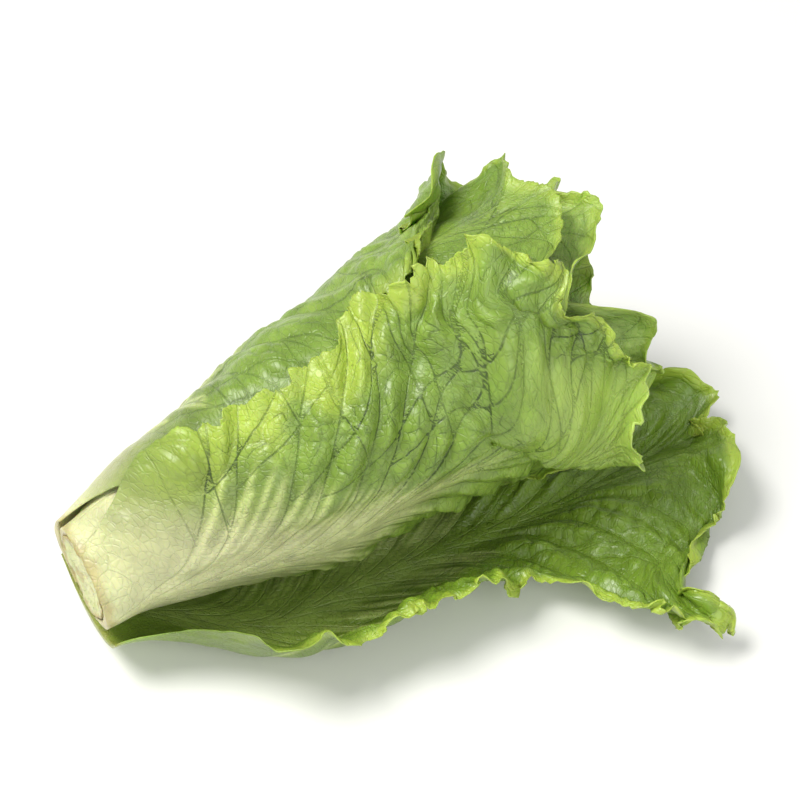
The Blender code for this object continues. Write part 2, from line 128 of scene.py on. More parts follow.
# The leaves between the outer ones and the heart, from the innermost out.
WRAPPER_LEAVES = (
    Leaf("wrapper_leaf_5", 16, 4, 0.031, 0.199, 0.015, 0.047, 0.016, 0.024, 0.028,
         0.001, 0.040, 0.0024, 5.7),
    Leaf("wrapper_leaf_4", 238, 1, 0.028, 0.203, 0.016, 0.051, 0.017, 0.027, 0.031,
         0.001, 0.040, 0.0027, 4.4),
    Leaf("wrapper_leaf_3", 103, -5, 0.025, 0.223, 0.016, 0.055, 0.017, 0.029, 0.036,
         0.002, 0.045, 0.0030, 3.1),
    Leaf("wrapper_leaf_2", 333, 5, 0.021, 0.223, 0.017, 0.059, 0.018, 0.031, 0.038,
         0.002, 0.045, 0.0032, 1.8),
    Leaf("wrapper_leaf_1", 192, 0, 0.018, 0.217, 0.018, 0.062, 0.019, 0.034, 0.042,
         0.003, 0.045, 0.0034, 0.5),
)

HEART_COUNT = 6

# The seeds of the leaves' random draws, counted up from the innermost leaf, and the lowest leaf's own.
FIRST_SEED = 100
LOWEST_SEED = 140

# The front leaf's end is folded outwards along a crest that runs slantwise to the tip, with a notch above it.
FOLD_HEIGHT = 0.0095
FOLD_START = 0.66
FOLD_FIRST = -0.24
FOLD_LAST = 0.30
FOLD_REACH = 0.26
NOTCH_DEPTH = 0.055
NOTCH_PLACE = -0.76
NOTCH_WIDTH = 0.09

# The lowest leaf: an open cup on the surface, whose end has fallen flat to the front in pleats, as a fan.
# Each OFF is how far behind the head's middle its midrib lies, so that less than 0 is in front.
# Its front side has a waist before the fan, and its back side is narrower at the end.
LOWEST_LENGTH = 0.284
LOWEST_FOOT = 0.030
LOWEST_HALF_WIDTH = 0.079
LOWEST_FOOT_OFF = -0.003
LOWEST_BELLY_OFF = -0.034
LOWEST_TIP_OFF = -0.046
LOWEST_FOOT_RADIUS = 0.0265
LOWEST_BELLY_RADIUS = 0.042
LOWEST_FLAT_RADIUS = 0.34
LOWEST_FLAT_BACK = 0.038
LOWEST_WAIST = 0.32
LOWEST_WAIST_PLACE = 0.60
LOWEST_WAIST_REACH = 0.14
LOWEST_FAN_WIDTH = 0.088
LOWEST_FAN_NARROWING = 0.10
LOWEST_BACK_NARROWING = 0.36
LOWEST_BACK_LAG = 0.10
LOWEST_FRONT_LAG = 0.28
LOWEST_FRONT_POWER = 1.25
LOWEST_LOBE = 0.05
LOWEST_PHASE = 2.0
LOWEST_RUFFLES = 8
LOWEST_RUFFLE = 0.0045
LOWEST_RUFFLE_REACH = 0.035
LOWEST_PLEAT = 0.012
PRESSED_FLAT = 0.0009

# How near the lowest leaf has to be to press its neighbours smooth, how near the head it is smooth itself,
# how far leaves stay off the floor, and by what share of its puff a blade's relief is sunk.
CLOSE_ROOM = 0.007
ROOM_KEPT = 0.004
FLOOR_ROOM = 0.0002
RELIEF_SUNK = 0.3

# The front leaf: how far its fold's crest leans over, how much of its lower corner is cut away, how far its
# foot wraps on round the stem, and how far its end is drawn up. Then how far the back leaf reaches on under
# it. The cut is a share of the leaf's length, and the last three are angles round the head.
FOLD_SLIDE = 0.026
CORNER_CUT = 0.09
FOOT_WRAP = 0.45
END_DRAWN = 0.25
MARGIN_TUCK = 0.30

# How each kind of leaf is finished: the grid's step, how far its cells puff out, how strongly its sides and
# its end curl, how far its edge is torn in, how strongly its veins, its pale midrib and its bright margin
# show, how much wider that margin is on the side of lower bearings, and its record slot.
Look = namedtuple("Look", "step puff side_curl end_curl tooth net flesh margin margin_spread slot")
LOOKS = {
    "outer_leaf_front": Look(0.00091, 0.0041, 0.55, 0.8, 0.0042, 1.0, 1.0, 0.70, 0.014, "outer_leaf"),
    "outer_leaf_lowest": Look(0.00110, 0.0046, 1.0, 1.0, 0.0038, 0.45, 0.5, 0.75, 0.0, "lowest_leaf"),
    "outer_leaf_top": Look(0.00110, 0.0030, 0.9, 1.1, 0.0032, 0.60, 1.0, 0.50, 0.0, "outer_leaf"),
    "outer_leaf_back": Look(0.00112, 0.0030, 0.9, 1.1, 0.0032, 0.60, 1.0, 0.50, 0.0, "outer_leaf"),
    "wrapper": Look(0.00150, 0.0022, 0.9, 1.2, 0.0028, 0.50, 0.8, 0.45, 0.0, "wrapper_leaf"),
    "heart": Look(0.00200, 0.0004, 0.3, 0.9, 0.0018, 0.30, 1.0, 0.40, 0.0, "heart_leaf"),
}

# The veins: side veins on either side of the midrib, how far they lean from it at the foot and at the tip,
# the path over which they lean out, the steps that they grow in, the grid that distances to them are worked
# out on, how far these reach, and where along a vein its forks leave it. Then the cells between them: their
# size and how much shorter they are across, how far their borders stray, and over what length.
SIDE_VEINS = 14
FOOT_LEAN = 74
TIP_LEAN = 32
LEAN_PATH = 0.055
VEIN_STEP = 0.001
VEIN_CELL = 0.0005
VEIN_REACH = 0.007
FORK_PLACES = (0.42, 0.68)
CELL_SIZE = 0.0105
CELL_FLATNESS = 0.8
CELL_STRAY = 0.0022
CELL_STRAY_SIZE = 0.009

# The fine ribs near a leaf's foot: how far apart they leave the midrib, over what share of its length, how
# far they lean from it, and how long, wide and high they are. Then how ridges run out from the midrib, and
# how wide the drawn veins and cell borders are.
RIB_SPACING = 0.0036
RIB_SHARE = 0.42
RIB_FOOT_LEAN = 52
RIB_TIP_LEAN = 36
RIB_REACH = 0.085
RIB_WIDTH = 0.0010
RIB_HEIGHT = 0.0003
RIDGE_RUN = 0.060
RIDGE_SPREAD = 0.022
VEIN_WIDTH = 0.00052
BORDER_WIDTH = 0.00032

# How long the teeth of a torn edge are, large and small.
TOOTH_LENGTH = 0.0042
SMALL_TOOTH_LENGTH = 0.0017

# How wide the grooves are that veins, their forks and cell borders lie in, between the puffed cells.
VEIN_GROOVE = 0.0038
FORK_GROOVE = 0.0022
BORDER_GROOVE = 0.0015

# How far a bright margin reaches in, how near a vein a cell's border is hidden, how far from a line it is
# drawn at most, and how strongly cell borders show beside veins.
BRIGHT_REACH = 0.009
BORDER_HIDDEN = 0.0022
LINE_ZONE = (0.0007, 0.0010)
BORDER_SHARE = 0.55

# Colours, as they look in soft light.
CREAM = (0.83, 0.84, 0.63)
PETIOLE_GREEN = (0.74, 0.78, 0.50)
LIGHT_GREEN = (0.66, 0.75, 0.39)
BLADE_GREEN = (0.54, 0.65, 0.26)
DEEP_GREEN = (0.39, 0.51, 0.15)
# The flap's tint: its smoother inner side's paler colour, with painted light on the lit upper side of the
# fold.
FLAP_INNER_AND_LIT_GREEN = (0.68, 0.78, 0.38)
LOWEST_GREEN = (0.59, 0.70, 0.27)
LOWEST_DEEP = (0.39, 0.51, 0.13)
INSIDE_GREEN = (0.51, 0.63, 0.20)
MARGIN_GREEN = (0.71, 0.79, 0.30)
VEIN_GREEN = (0.22, 0.31, 0.05)
HEART_YELLOW = (0.88, 0.90, 0.56)
CUT_BROWN = (0.62, 0.50, 0.28)

# The colours of each kind of leaf: of its blade, between the blade's patches and on its inside, and of the
# light and the fleshy zone along its midrib.
Palette = namedtuple("Palette", "blade deep inside light fleshy")
PALETTES = {
    "outer_leaf": Palette(BLADE_GREEN, DEEP_GREEN, INSIDE_GREEN, LIGHT_GREEN, PETIOLE_GREEN),
    "lowest_leaf": Palette(LOWEST_GREEN, LOWEST_DEEP, INSIDE_GREEN, BLADE_GREEN, LIGHT_GREEN),
    "wrapper_leaf": Palette(LIGHT_GREEN, DEEP_GREEN, BLADE_GREEN, LIGHT_GREEN, PETIOLE_GREEN),
    "heart_leaf": Palette(HEART_YELLOW, LIGHT_GREEN, HEART_YELLOW, PETIOLE_GREEN, CREAM),
}


def blend(first, last, share):
    return first + (last - first) * share


def ease(low, high, x):
    """0 below low, 1 above high, and a smooth rise between them."""
    t = np.clip((x - low) / (high - low), 0.0, 1.0)
    return t * t * (3 - 2 * t)


def softer_max(a, b, reach):
    """The larger of two lengths, rounded off where they are within reach of each other."""
    return 0.5 * (a + b + np.sqrt((a - b) ** 2 + reach * reach))


def linear(colour):
    """A colour as it looks to the light it holds."""
    c = np.asarray(colour, float)
    return np.where(c <= 0.04045, c / 12.92, ((c + 0.055) / 1.055) ** 2.4)


def noise(x, y, seed):
    """Smooth seeded noise from -1 to 1, with lumps about one unit wide."""
    size = 64
    table = np.random.default_rng(seed).uniform(-1, 1, (size, size))
    i, j = np.floor(x).astype(int), np.floor(y).astype(int)
    a, b = ease(0, 1, x - i), ease(0, 1, y - j)
    near = table[i % size, j % size] * (1 - a) + table[(i + 1) % size, j % size] * a
    far = table[i % size, (j + 1) % size] * (1 - a) + table[(i + 1) % size, (j + 1) % size] * a
    return near * (1 - b) + far * b


def to_cell_border(x, y, seed):
    """The step from each place to its cell's border, in a seeded pattern of cells about one unit wide."""
    size = 64
    table = np.random.default_rng(seed).uniform(0.08, 0.92, (size, size, 2))
    i, j = np.floor(x).astype(int), np.floor(y).astype(int)
    first = np.full(x.shape, 9.0)
    second = first.copy()
    first_x, first_y, second_x, second_y = (np.zeros(x.shape) for _ in range(4))
    for m in (-1, 0, 1):
        for n in (-1, 0, 1):
            point = table[(i + m) % size, (j + n) % size]
            px, py = i + m + point[..., 0], j + n + point[..., 1]
            away = np.hypot(px - x, py - y)
            nearer = away < first
            next_one = ~nearer & (away < second)
            second_x = np.where(nearer, first_x, np.where(next_one, px, second_x))
            second_y = np.where(nearer, first_y, np.where(next_one, py, second_y))
            second = np.where(nearer, first, np.where(next_one, away, second))
            first_x, first_y = np.where(nearer, px, first_x), np.where(nearer, py, first_y)
            first = np.where(nearer, away, first)
    apart_x, apart_y = second_x - first_x, second_y - first_y
    apart = np.maximum(np.hypot(apart_x, apart_y), 1e-6)
    gone = ((first_x + second_x) / 2 - x) * apart_x / apart + ((first_y + second_y) / 2 - y) * apart_y / apart
    return gone * apart_x / apart, gone * apart_y / apart


# The head's form, as its solids have it.


def heart_leaves():
    """The small pale leaves in the middle, from the innermost out."""
    leaves = []
    for k in reversed(range(HEART_COUNT)):
        share = k / (HEART_COUNT - 1)
        leaves.append(Leaf(
            f"heart_leaf_{k + 1}",
            azimuth=172 + math.degrees(GOLDEN_TURN) * k,
            turn=4 * math.sin(1.7 * k),
            start=blend(0.034, 0.064, share),
            length=blend(0.168, 0.082, share),
            foot=blend(0.013, 0.006, share),
            half_width=blend(0.042, 0.011, share),
            foot_radius=blend(0.015, 0.006, share),
            belly_radius=blend(0.023, 0.006, share),
            tip_radius=blend(0.027, 0.008, share),
            open=0.0,
            lobe=0.03,
            ruffle=blend(0.0016, 0.0008, share),
            phase=0.9 * k,
        ))
    return leaves


def shifted(field, cells, axis):
    """The field moved by some cells: round the head on axis 1, and held at the ends on axis 0."""
    if axis == 1:
        return np.roll(field, cells, axis=1)
    rows = np.clip(np.arange(field.shape[0]) + cells, 0, field.shape[0] - 1)
    return field[rows]


def averaged(field, cells, axis):
    return np.mean([shifted(field, n, axis) for n in range(-cells, cells + 1)], axis=0)


def smooth_cover(field):
    """A smooth field that is nowhere under the given one. The head's own taper is set aside meanwhile."""
    taper = field.mean(axis=1, keepdims=True) + np.zeros_like(field)
    taper = averaged(averaged(taper, COVER_CELLS + 2, 0), COVER_CELLS, 0)
    cover = field - taper
    for axis in (0, 1):
        cover = np.max([shifted(cover, n, axis) for n in range(-COVER_CELLS, COVER_CELLS + 1)], axis=0)
    for axis in (0, 1):
        cover = averaged(averaged(cover, COVER_CELLS - 2, axis), 1, axis)
    return taper + cover


def spline_weights(t):
    """The shares that four neighbours have in a place between the middle two."""
    return (
        (1 - t) ** 3 / 6,
        (3 * t**3 - 6 * t**2 + 4) / 6,
        (-3 * t**3 + 3 * t**2 + 3 * t + 1) / 6,
        t**3 / 6,
    )


def sampled(field, station, bearing):
    """The field at any station and bearing, smooth between its values."""
    row = np.clip((station - STATIONS[0]) / STATION_STEP, 1, len(STATIONS) - 3.001)
    column = np.mod(bearing, TURN) / TURN * BEARING_COUNT
    i, j = row.astype(int), column.astype(int)
    along, across = spline_weights(row - i), spline_weights(column - j)
    total = 0.0
    for m in range(4):
        for n in range(4):
            total = total + along[m] * across[n] * field[i + m - 1, (j + n - 1) % BEARING_COUNT]
    return total


def half_width(leaf, u, side=0.0):
    """Half the blade's width at a share of its length: broad soon after the foot, less so at the end.

    On either side (-1 or 1) its lobes are added, which differ between the two.
    """
    widened = blend(leaf.foot, leaf.half_width, 0.62 * ease(-0.02, 0.25, u) + 0.38 * ease(0.15, 0.62, u))
    lobes = np.sin(SIDE_LOBES[0] * u + leaf.phase + 1.9 * side)
    lobes = lobes + SECOND_LOBES * np.sin(SIDE_LOBES[1] * u + 2.1 * leaf.phase - 0.8 * side)
    lobes = leaf.lobe * np.abs(side) * ease(0.12, 0.35, u) * lobes
    return widened * (1 - END_NARROWING * ease(0.72, 1.0, u)) * (1 + lobes)


def corner_lag(v, corners, lobe, phase):
    """By what share of its length a blade's end stays behind at v: rounded corners and a lobed end."""
    lobes = np.sin(END_LOBES[0] * v + phase) + SECOND_LOBES * np.sin(END_LOBES[1] * v + 1.7 * phase)
    rounding = np.where(v < 0, corners[0], corners[1])
    return rounding * np.abs(v) ** END_POWER + 0.4 * lobe * (1 + SECOND_LOBES + lobes)


def end_lag(leaf, v):
    """By what share of its length a leaf's end stays behind at v. The front leaf's end has a notch."""
    lag = corner_lag(v, leaf.corners, leaf.lobe, leaf.phase)
    if leaf.name == "outer_leaf_front":
        lag = lag + NOTCH_DEPTH * np.exp(-(((v - NOTCH_PLACE) / NOTCH_WIDTH) ** 2))
    return lag


def posture(leaf, u):
    """The radius that the leaf's middle would hold by itself."""
    belly = blend(leaf.foot_radius, leaf.belly_radius, ease(0.0, 0.48, u))
    return belly + (leaf.tip_radius - leaf.belly_radius) * ease(0.5, 1.0, u)


def station_of(leaf, u, v):
    return leaf.start + leaf.length * (u - end_lag(leaf, v) * u**3)


def bearing_of(leaf, u, v):
    """The bearing of a place on the blade. The lobes of either side fade out towards the midrib."""
    middle = math.radians(leaf.azimuth) + math.radians(leaf.turn) * u * u
    plain = half_width(leaf, u)
    lobed = half_width(leaf, u, np.sign(v))
    return middle + v * blend(plain, lobed, ease(0.0, 0.7, np.abs(v))) / posture(leaf, u)


def blade_place(leaf, station, bearing):
    """Shares along and across the blade at a station and bearing, by Newton's method, and if it is on it."""
    along = (station - leaf.start) / leaf.length
    u = np.clip(along, 0.0, 1.0)
    for _ in range(8):
        middle = math.radians(leaf.azimuth) + math.radians(leaf.turn) * u * u
        off = np.mod(bearing - middle + math.pi, TURN) - math.pi
        v = off * posture(leaf, u) / half_width(leaf, u, np.sign(off))
        lag = end_lag(leaf, np.clip(v, -1.15, 1.15))
        u = np.clip(u - (u - lag * u**3 - along) / (1 - 3 * lag * u * u), 0.0, 1.1)
    on_blade = (along >= 0) & (u <= 1.0) & (np.abs(v) <= 1.0)
    return u, v, on_blade


def thickness(u, v, full_width, margin=MARGIN_THICKNESS):
    """The thickness of a blade of some full half width: fleshy at the midrib's foot, thin at the margins."""
    share = full_width / LOWEST_HALF_WIDTH
    rib = blend(RIB_FOOT_THICKNESS * share, RIB_TIP_THICKNESS, ease(-0.2, 0.62, u))
    rib_width = blend(RIB_FOOT_WIDTH * share, RIB_TIP_WIDTH, ease(0.0, 0.7, u))
    across = v * full_width * blend(0.3, 1.0, ease(0.0, 0.5, u))
    return margin + np.maximum(rib - margin, 0) * np.exp(-((across / rib_width) ** 2))


def margin_share(leaf, u, v):
    """1 on the blade's edge, falling to 0 inside it, and 0 at its foot."""
    reach = 0.5 * leaf.half_width
    from_side = ease(0, 1, (1 - np.minimum(np.abs(v), 1)) * half_width(leaf, u) / reach)
    from_end = ease(0, 1, (1 - np.minimum(u, 1)) * leaf.length / reach)
    return (1 - from_side * from_end) * (0.45 * ease(0.06, 0.3, u) + 0.55 * ease(0.5, 0.9, u))


def ruffle(leaf, u, v):
    """How far the waved margin stands out, from 0 up. The waves run round the blade's outline."""
    round_edge = np.arctan2(v * half_width(leaf, u), (u - BLADE_MIDDLE) * leaf.length)
    waves = RUFFLES * round_edge + 0.9 * np.sin(3 * round_edge + leaf.phase) + leaf.phase
    uneven = 0.72 + 0.28 * np.sin(2 * round_edge + 2.3 * leaf.phase)
    return leaf.ruffle * uneven * margin_share(leaf, u, v) * (1 + np.sin(waves))


def above_crest(u, v):
    """How far a place is from the crest of the front leaf's fold, in reaches of the fold."""
    middle = blend(FOLD_FIRST, FOLD_LAST, ease(FOLD_START, 1.0, u))
    return (v - middle) / FOLD_REACH


def fold(leaf, u, v):
    """How far the front leaf's end is folded outwards."""
    if leaf.name != "outer_leaf_front":
        return 0.0
    above = above_crest(u, v)
    return FOLD_HEIGHT * ease(FOLD_START, 0.86, u) * ease(-2.2, -0.4, above) * (1 - ease(-0.4, 0.6, above))


def laid_radius(leaf, u, v, cover):
    """The radius of the blade's middle surface: on the cover of what is inside it, or at its own posture."""
    edge = margin_share(leaf, u, v)
    half_thick = 0.5 * SLOPE_ROOM * thickness(u, v, leaf.half_width)
    on_cover = sampled(cover, station_of(leaf, u, v), bearing_of(leaf, u, v))
    on_cover = on_cover + CLEARANCE + RUFFLE_CLEARANCE * edge + half_thick
    own = posture(leaf, u) - FOOT_HUG * (1 - ease(0.0, 0.3, u)) + leaf.open * v * v * ease(0.1, 0.7, u)
    return softer_max(on_cover, own, LOOSE_REACH) + ruffle(leaf, u, v) + fold(leaf, u, v)


def stem_radius(station):
    """The stem's radius: nearly even at the cut, then drawn in to a blunt point inside the heart."""
    share = np.clip(station / STEM_LENGTH, 0.0, 1.0)
    return STEM_RADIUS * np.sqrt(np.maximum(1 - share**2.2, 0.0))


def lay_leaves(leaves):
    """Lays the leaves from the heart outwards. Gives their covers and places, and what is taken at last."""
    grid_station, grid_bearing = np.meshgrid(STATIONS, BEARINGS, indexing="ij")
    taken = stem_radius(grid_station)
    covers = []
    places = []
    for leaf in leaves:
        cover = smooth_cover(taken)
        covers.append(cover)
        u, v, on_blade = blade_place(leaf, grid_station, grid_bearing)
        u, v = np.clip(u, 0, 1), np.clip(v, -1, 1)
        half_thick = 0.5 * SLOPE_ROOM * thickness(u, v, leaf.half_width)
        outside = laid_radius(leaf, u, v, cover) + half_thick
        taken = np.where(on_blade, np.maximum(taken, outside), taken)
        places.append(on_blade)
    return covers, places, taken


def butt_rise(station):
    """How far the cut end is held up by the belly that the head lies on."""
    return BUTT_RISE * (1 - ease(0, BUTT_RISE_LENGTH, station))


def axis_height_curve(taken):
    """The axis height at each station: the head's underside lies along the surface, on the lowest leaf."""
    below = np.max(taken * np.maximum(-np.cos(BEARINGS), 0), axis=1)
    height = np.maximum.accumulate(below)
    for _ in range(3):
        padded = np.pad(height, 6, mode="edge")
        height = np.maximum(height, np.convolve(padded, np.ones(13) / 13, mode="valid"))
    return height + LOWEST_LEAF_ROOM + butt_rise(STATIONS)


def in_space(station, bearing, radius, axis_heights):
    """Head coordinates to x, y, z."""
    height = np.interp(station, STATIONS, axis_heights)
    bend = AXIS_BEND * (station / BEND_LENGTH) ** 2
    x = station - REST_STATION
    y = bend - radius * np.sin(bearing)
    z = height + radius * np.cos(bearing)
    return np.stack([x, y, z], axis=-1)


def lowest_half_width(u, v):
    """Half the lowest leaf's width, with its lobes."""
    wide = blend(LOWEST_FOOT, LOWEST_HALF_WIDTH, 0.6 * ease(-0.02, 0.25, u) + 0.4 * ease(0.2, 0.75, u))
    lobes = np.sin(SIDE_LOBES[0] * u + 1.5 * v) + SECOND_LOBES * np.sin(SIDE_LOBES[1] * u - 2.0 * v)
    lobes = LOWEST_LOBE * ease(0.3, 1.0, np.abs(v)) * ease(0.12, 0.35, u) * lobes
    waist = LOWEST_WAIST * np.exp(-(((u - LOWEST_WAIST_PLACE) / LOWEST_WAIST_REACH) ** 2))
    fan = LOWEST_FAN_WIDTH * (1 - LOWEST_FAN_NARROWING * ease(0.9, 1.0, u))
    front = blend(wide * (1 - waist), fan, ease(0.68, 0.94, u))
    back = wide * (1 - LOWEST_BACK_NARROWING * ease(0.6, 1.0, u))
    return np.where(v > 0, front, back) * (1 + lobes)


def lowest_station(u, v):
    """The station of a place on the lowest leaf, v being 1 in front. Its front corner stays far behind."""
    lag = corner_lag(v, (LOWEST_BACK_LAG, 0.0), LOWEST_LOBE, LOWEST_PHASE)
    lag = lag + LOWEST_FRONT_LAG * np.maximum(v, 0.0) ** LOWEST_FRONT_POWER
    return LOWEST_LENGTH * (u - lag * u**3)


def lowest_section(u, v, wide, half_thick):
    """Where the lowest leaf lies by itself, v being 1 in front: how far behind the axis, and how high."""
    off = blend(LOWEST_FOOT_OFF, LOWEST_BELLY_OFF, ease(0, 0.24, u))
    off = blend(off, LOWEST_TIP_OFF, ease(0.4, 1, u))
    curve = blend(1 / LOWEST_FOOT_RADIUS, 1 / LOWEST_BELLY_RADIUS, ease(0, 0.3, u))
    curve = blend(curve, 1 / LOWEST_FLAT_RADIUS, ease(0.45, 0.85, u))
    # Behind the midrib the weight of the head keeps a strip of it flat before it curves up.
    pressed = LOWEST_FLAT_BACK * ease(0, 0.3, u)
    across = v * wide
    arc = np.maximum(across, 0) + np.minimum(across + pressed, 0)
    strip = np.clip(across, -pressed, 0)
    y = off - np.sin(curve * arc) / curve - strip
    z = (1 - np.cos(curve * arc)) / curve + half_thick - PRESSED_FLAT
    return y, z


def lowest_waves(u, v, wide):
    """How far the lowest leaf's margin waves up, and how high its pleats stand."""
    round_edge = np.arctan2(v * wide, (u - BLADE_MIDDLE) * LOWEST_LENGTH)
    from_side = ease(0, 1, (1 - np.abs(v)) * wide / LOWEST_RUFFLE_REACH)
    from_end = ease(0, 1, (1 - u) * LOWEST_LENGTH / LOWEST_RUFFLE_REACH)
    waves = 1 + np.sin(LOWEST_RUFFLES * round_edge + 0.8 * np.sin(3 * round_edge + 1.0))
    waves = waves * (1 - from_side * from_end) * ease(0.05, 0.25, u) * ease(0.0, 0.3, np.abs(v))
    pleats = 0.5 - 0.5 * np.cos(TURN * 1.5 * (v + 0.15))
    return LOWEST_RUFFLE * waves + LOWEST_PLEAT * pleats * ease(0.62, 0.9, u) * np.sqrt(1 - v * v)


def lowest_middle(u, v, cover, axis_heights):
    """The lowest leaf's middle surface. The head above it keeps it outside its cover."""
    wide = lowest_half_width(u, v)
    half_thick = 0.5 * thickness(u, v, LOWEST_HALF_WIDTH)
    station = lowest_station(u, v)
    y, z = lowest_section(u, v, wide, half_thick)
    z = z + lowest_waves(u, v, wide) + butt_rise(station)
    from_axis = z - np.interp(station, STATIONS, axis_heights)
    across = y - AXIS_BEND * (station / BEND_LENGTH) ** 2
    bearing = np.arctan2(-across, from_axis)
    room = sampled(cover, station, bearing) + CLEARANCE + RUFFLE_CLEARANCE + SLOPE_ROOM * half_thick
    radius = softer_max(np.hypot(across, from_axis), room, TIGHT_REACH)
    return in_space(station, bearing, radius, axis_heights)


# The fine form: veins, puffed cells, torn and curled margins.


def beside_head(points, cover, axis_heights):
    """Stations and bearings of points, and the room that is left between them and a cover."""
    station = points[..., 0] + REST_STATION
    across = points[..., 1] - AXIS_BEND * (station / BEND_LENGTH) ** 2
    from_axis = points[..., 2] - np.interp(station, STATIONS, axis_heights)
    bearing = np.arctan2(-across, from_axis)
    return station, bearing, np.hypot(across, from_axis) - sampled(cover, station, bearing)


def pressed_by_lowest(cover, axis_heights):
    """Where on the head's surface the lowest leaf lies close to it."""
    u, v = np.meshgrid(np.linspace(0, 1, 300), np.linspace(-1, 1, 200), indexing="ij")
    station, bearing, room = beside_head(lowest_middle(u, v, cover, axis_heights), cover, axis_heights)
    rows = np.round((station - STATIONS[0]) / STATION_STEP).astype(int)
    columns = np.round(np.mod(bearing, TURN) / TURN * BEARING_COUNT).astype(int) % BEARING_COUNT
    near = (room < CLOSE_ROOM) & (rows < len(STATIONS))
    place = np.zeros(cover.shape, bool)
    place[rows[near], columns[near]] = True
    return place


def free_fields(places):
    """For each leaf of the head, 1 where no later leaf lies over it or close by, and 0 where one does."""
    fields = []
    over = np.zeros(places[0].shape)
    for place in reversed(places):
        covered = over
        for axis in (0, 1):
            covered = np.max([shifted(covered, n, axis) for n in range(-2, 3)], axis=0)
            covered = averaged(covered, 2, axis)
        fields.append(1 - covered)
        over = np.maximum(over, place)
    return fields[::-1]


def normals_of(points):
    """Unit normals of a grid of points, from the steps along it and across it, pointing out of the head."""
    along = np.gradient(points, axis=0)
    across = np.gradient(points, axis=1)
    normal = np.cross(across, along)
    return normal / np.maximum(np.linalg.norm(normal, axis=-1, keepdims=True), 1e-12)


def grown_vein(along, across, side, lean, settle, bend, leaf_length, edge_at, reach=0.2):
    """A vein's path in the blade laid flat, from its start until it leaves the blade."""
    path = [(along, across)]
    gone = 0.0
    while gone < reach:
        heading = math.radians(lean) * float(ease(-0.25 * settle, settle, gone)) + bend * gone
        along += VEIN_STEP * math.cos(heading)
        across += side * VEIN_STEP * math.sin(heading)
        gone += VEIN_STEP
        path.append((along, across))
        if along > leaf_length or abs(across) > edge_at(along / leaf_length, side):
            break
    return path


def vein_paths(leaf_length, edge_at, size, seed):
    """The side veins and their forks, as paths in the blade laid flat."""
    draw = np.random.default_rng(seed)
    count = max(6, round(SIDE_VEINS * size))
    mains, forks = [], []
    for side in (-1, 1):
        for k in range(count):
            share = (k + 0.5 + draw.uniform(-0.22, 0.22)) / count
            lean = blend(FOOT_LEAN, TIP_LEAN, share**0.6) + draw.uniform(-3, 3)
            start = (0.01 + 0.88 * share**1.1) * leaf_length
            bend = draw.uniform(-1.4, 0.4)
            main = grown_vein(start, side * 0.001, side, lean, LEAN_PATH * size, bend, leaf_length, edge_at)
            mains.append(main)
            for at in FORK_PLACES:
                step = int((at + draw.uniform(-0.06, 0.06)) * len(main))
                if step + 2 >= len(main):
                    continue
                (a0, b0), (a1, b1) = main[step], main[step + 1]
                heading = math.degrees(math.atan2(side * (b1 - b0), a1 - a0))
                swing = draw.choice((-1, 1)) * draw.uniform(30, 45)
                lean = heading + swing
                forks.append(grown_vein(a0, b0, side, lean, 0.0001, -swing * 0.12, leaf_length, edge_at))
    return mains, forks


def rib_paths(leaf_length, edge_at, size, seed):
    """The fine ribs that fan out of the midrib near the foot."""
    draw = np.random.default_rng(seed + 5)
    spacing, reach = RIB_SPACING * size, RIB_REACH * size
    ribs = []
    for side in (-1, 1):
        start = 0.004
        while start < RIB_SHARE * leaf_length:
            lean = blend(RIB_FOOT_LEAN, RIB_TIP_LEAN, start / leaf_length / RIB_SHARE) + draw.uniform(-3, 3)
            bend = draw.uniform(-1.0, 1.0)
            length = reach * draw.uniform(0.7, 1.1)
            ribs.append(grown_vein(start, 0.0, side, lean, LEAN_PATH, bend, leaf_length, edge_at, length))
            start += spacing * draw.uniform(0.7, 1.3)
    return ribs


def nearest_on(paths, leaf_length, widest, a, b):
    """The step along and across from each place of the blade laid flat to the nearest of the paths."""
    rows = int(leaf_length / VEIN_CELL) + 12
    columns = int(2 * widest / VEIN_CELL) + 12
    row_place = (np.arange(rows)[:, None] - 5) * VEIN_CELL + np.zeros((rows, columns))
    column_place = (np.arange(columns)[None, :] - 5) * VEIN_CELL - widest + np.zeros((rows, columns))
    near_a = np.full((rows, columns), 9.0)
    near_b = near_a.copy()
    for path in paths:
        points = np.array(path)
        ends = np.linspace(0, len(points) - 1, 4 * len(points))
        along = np.interp(ends, np.arange(len(points)), points[:, 0])
        across = np.interp(ends, np.arange(len(points)), points[:, 1])
        i = np.clip(np.round(along / VEIN_CELL).astype(int) + 5, 0, rows - 1)
        j = np.clip(np.round((across + widest) / VEIN_CELL).astype(int) + 5, 0, columns - 1)
        near_a[i, j] = along
        near_b[i, j] = across
    for axis in (0, 1):
        from_a, from_b = near_a, near_b
        nearest = np.hypot(near_a - row_place, near_b - column_place)
        for n in range(1, int(VEIN_REACH / VEIN_CELL)):
            for cells in (-n, n):
                other_a, other_b = np.roll(from_a, cells, axis=axis), np.roll(from_b, cells, axis=axis)
                away = np.hypot(other_a - row_place, other_b - column_place)
                closer = away < nearest
                near_a = np.where(closer, other_a, near_a)
                near_b = np.where(closer, other_b, near_b)
                nearest = np.where(closer, away, nearest)
    i = np.clip(np.round(a / VEIN_CELL).astype(int) + 5, 0, rows - 1)
    j = np.clip(np.round((b + widest) / VEIN_CELL).astype(int) + 5, 0, columns - 1)
    step_a, step_b = near_a[i, j] - a, near_b[i, j] - b
    too_far = np.hypot(step_a, step_b) > VEIN_REACH
    return np.where(too_far, VEIN_REACH, step_a), np.where(too_far, VEIN_REACH, step_b)


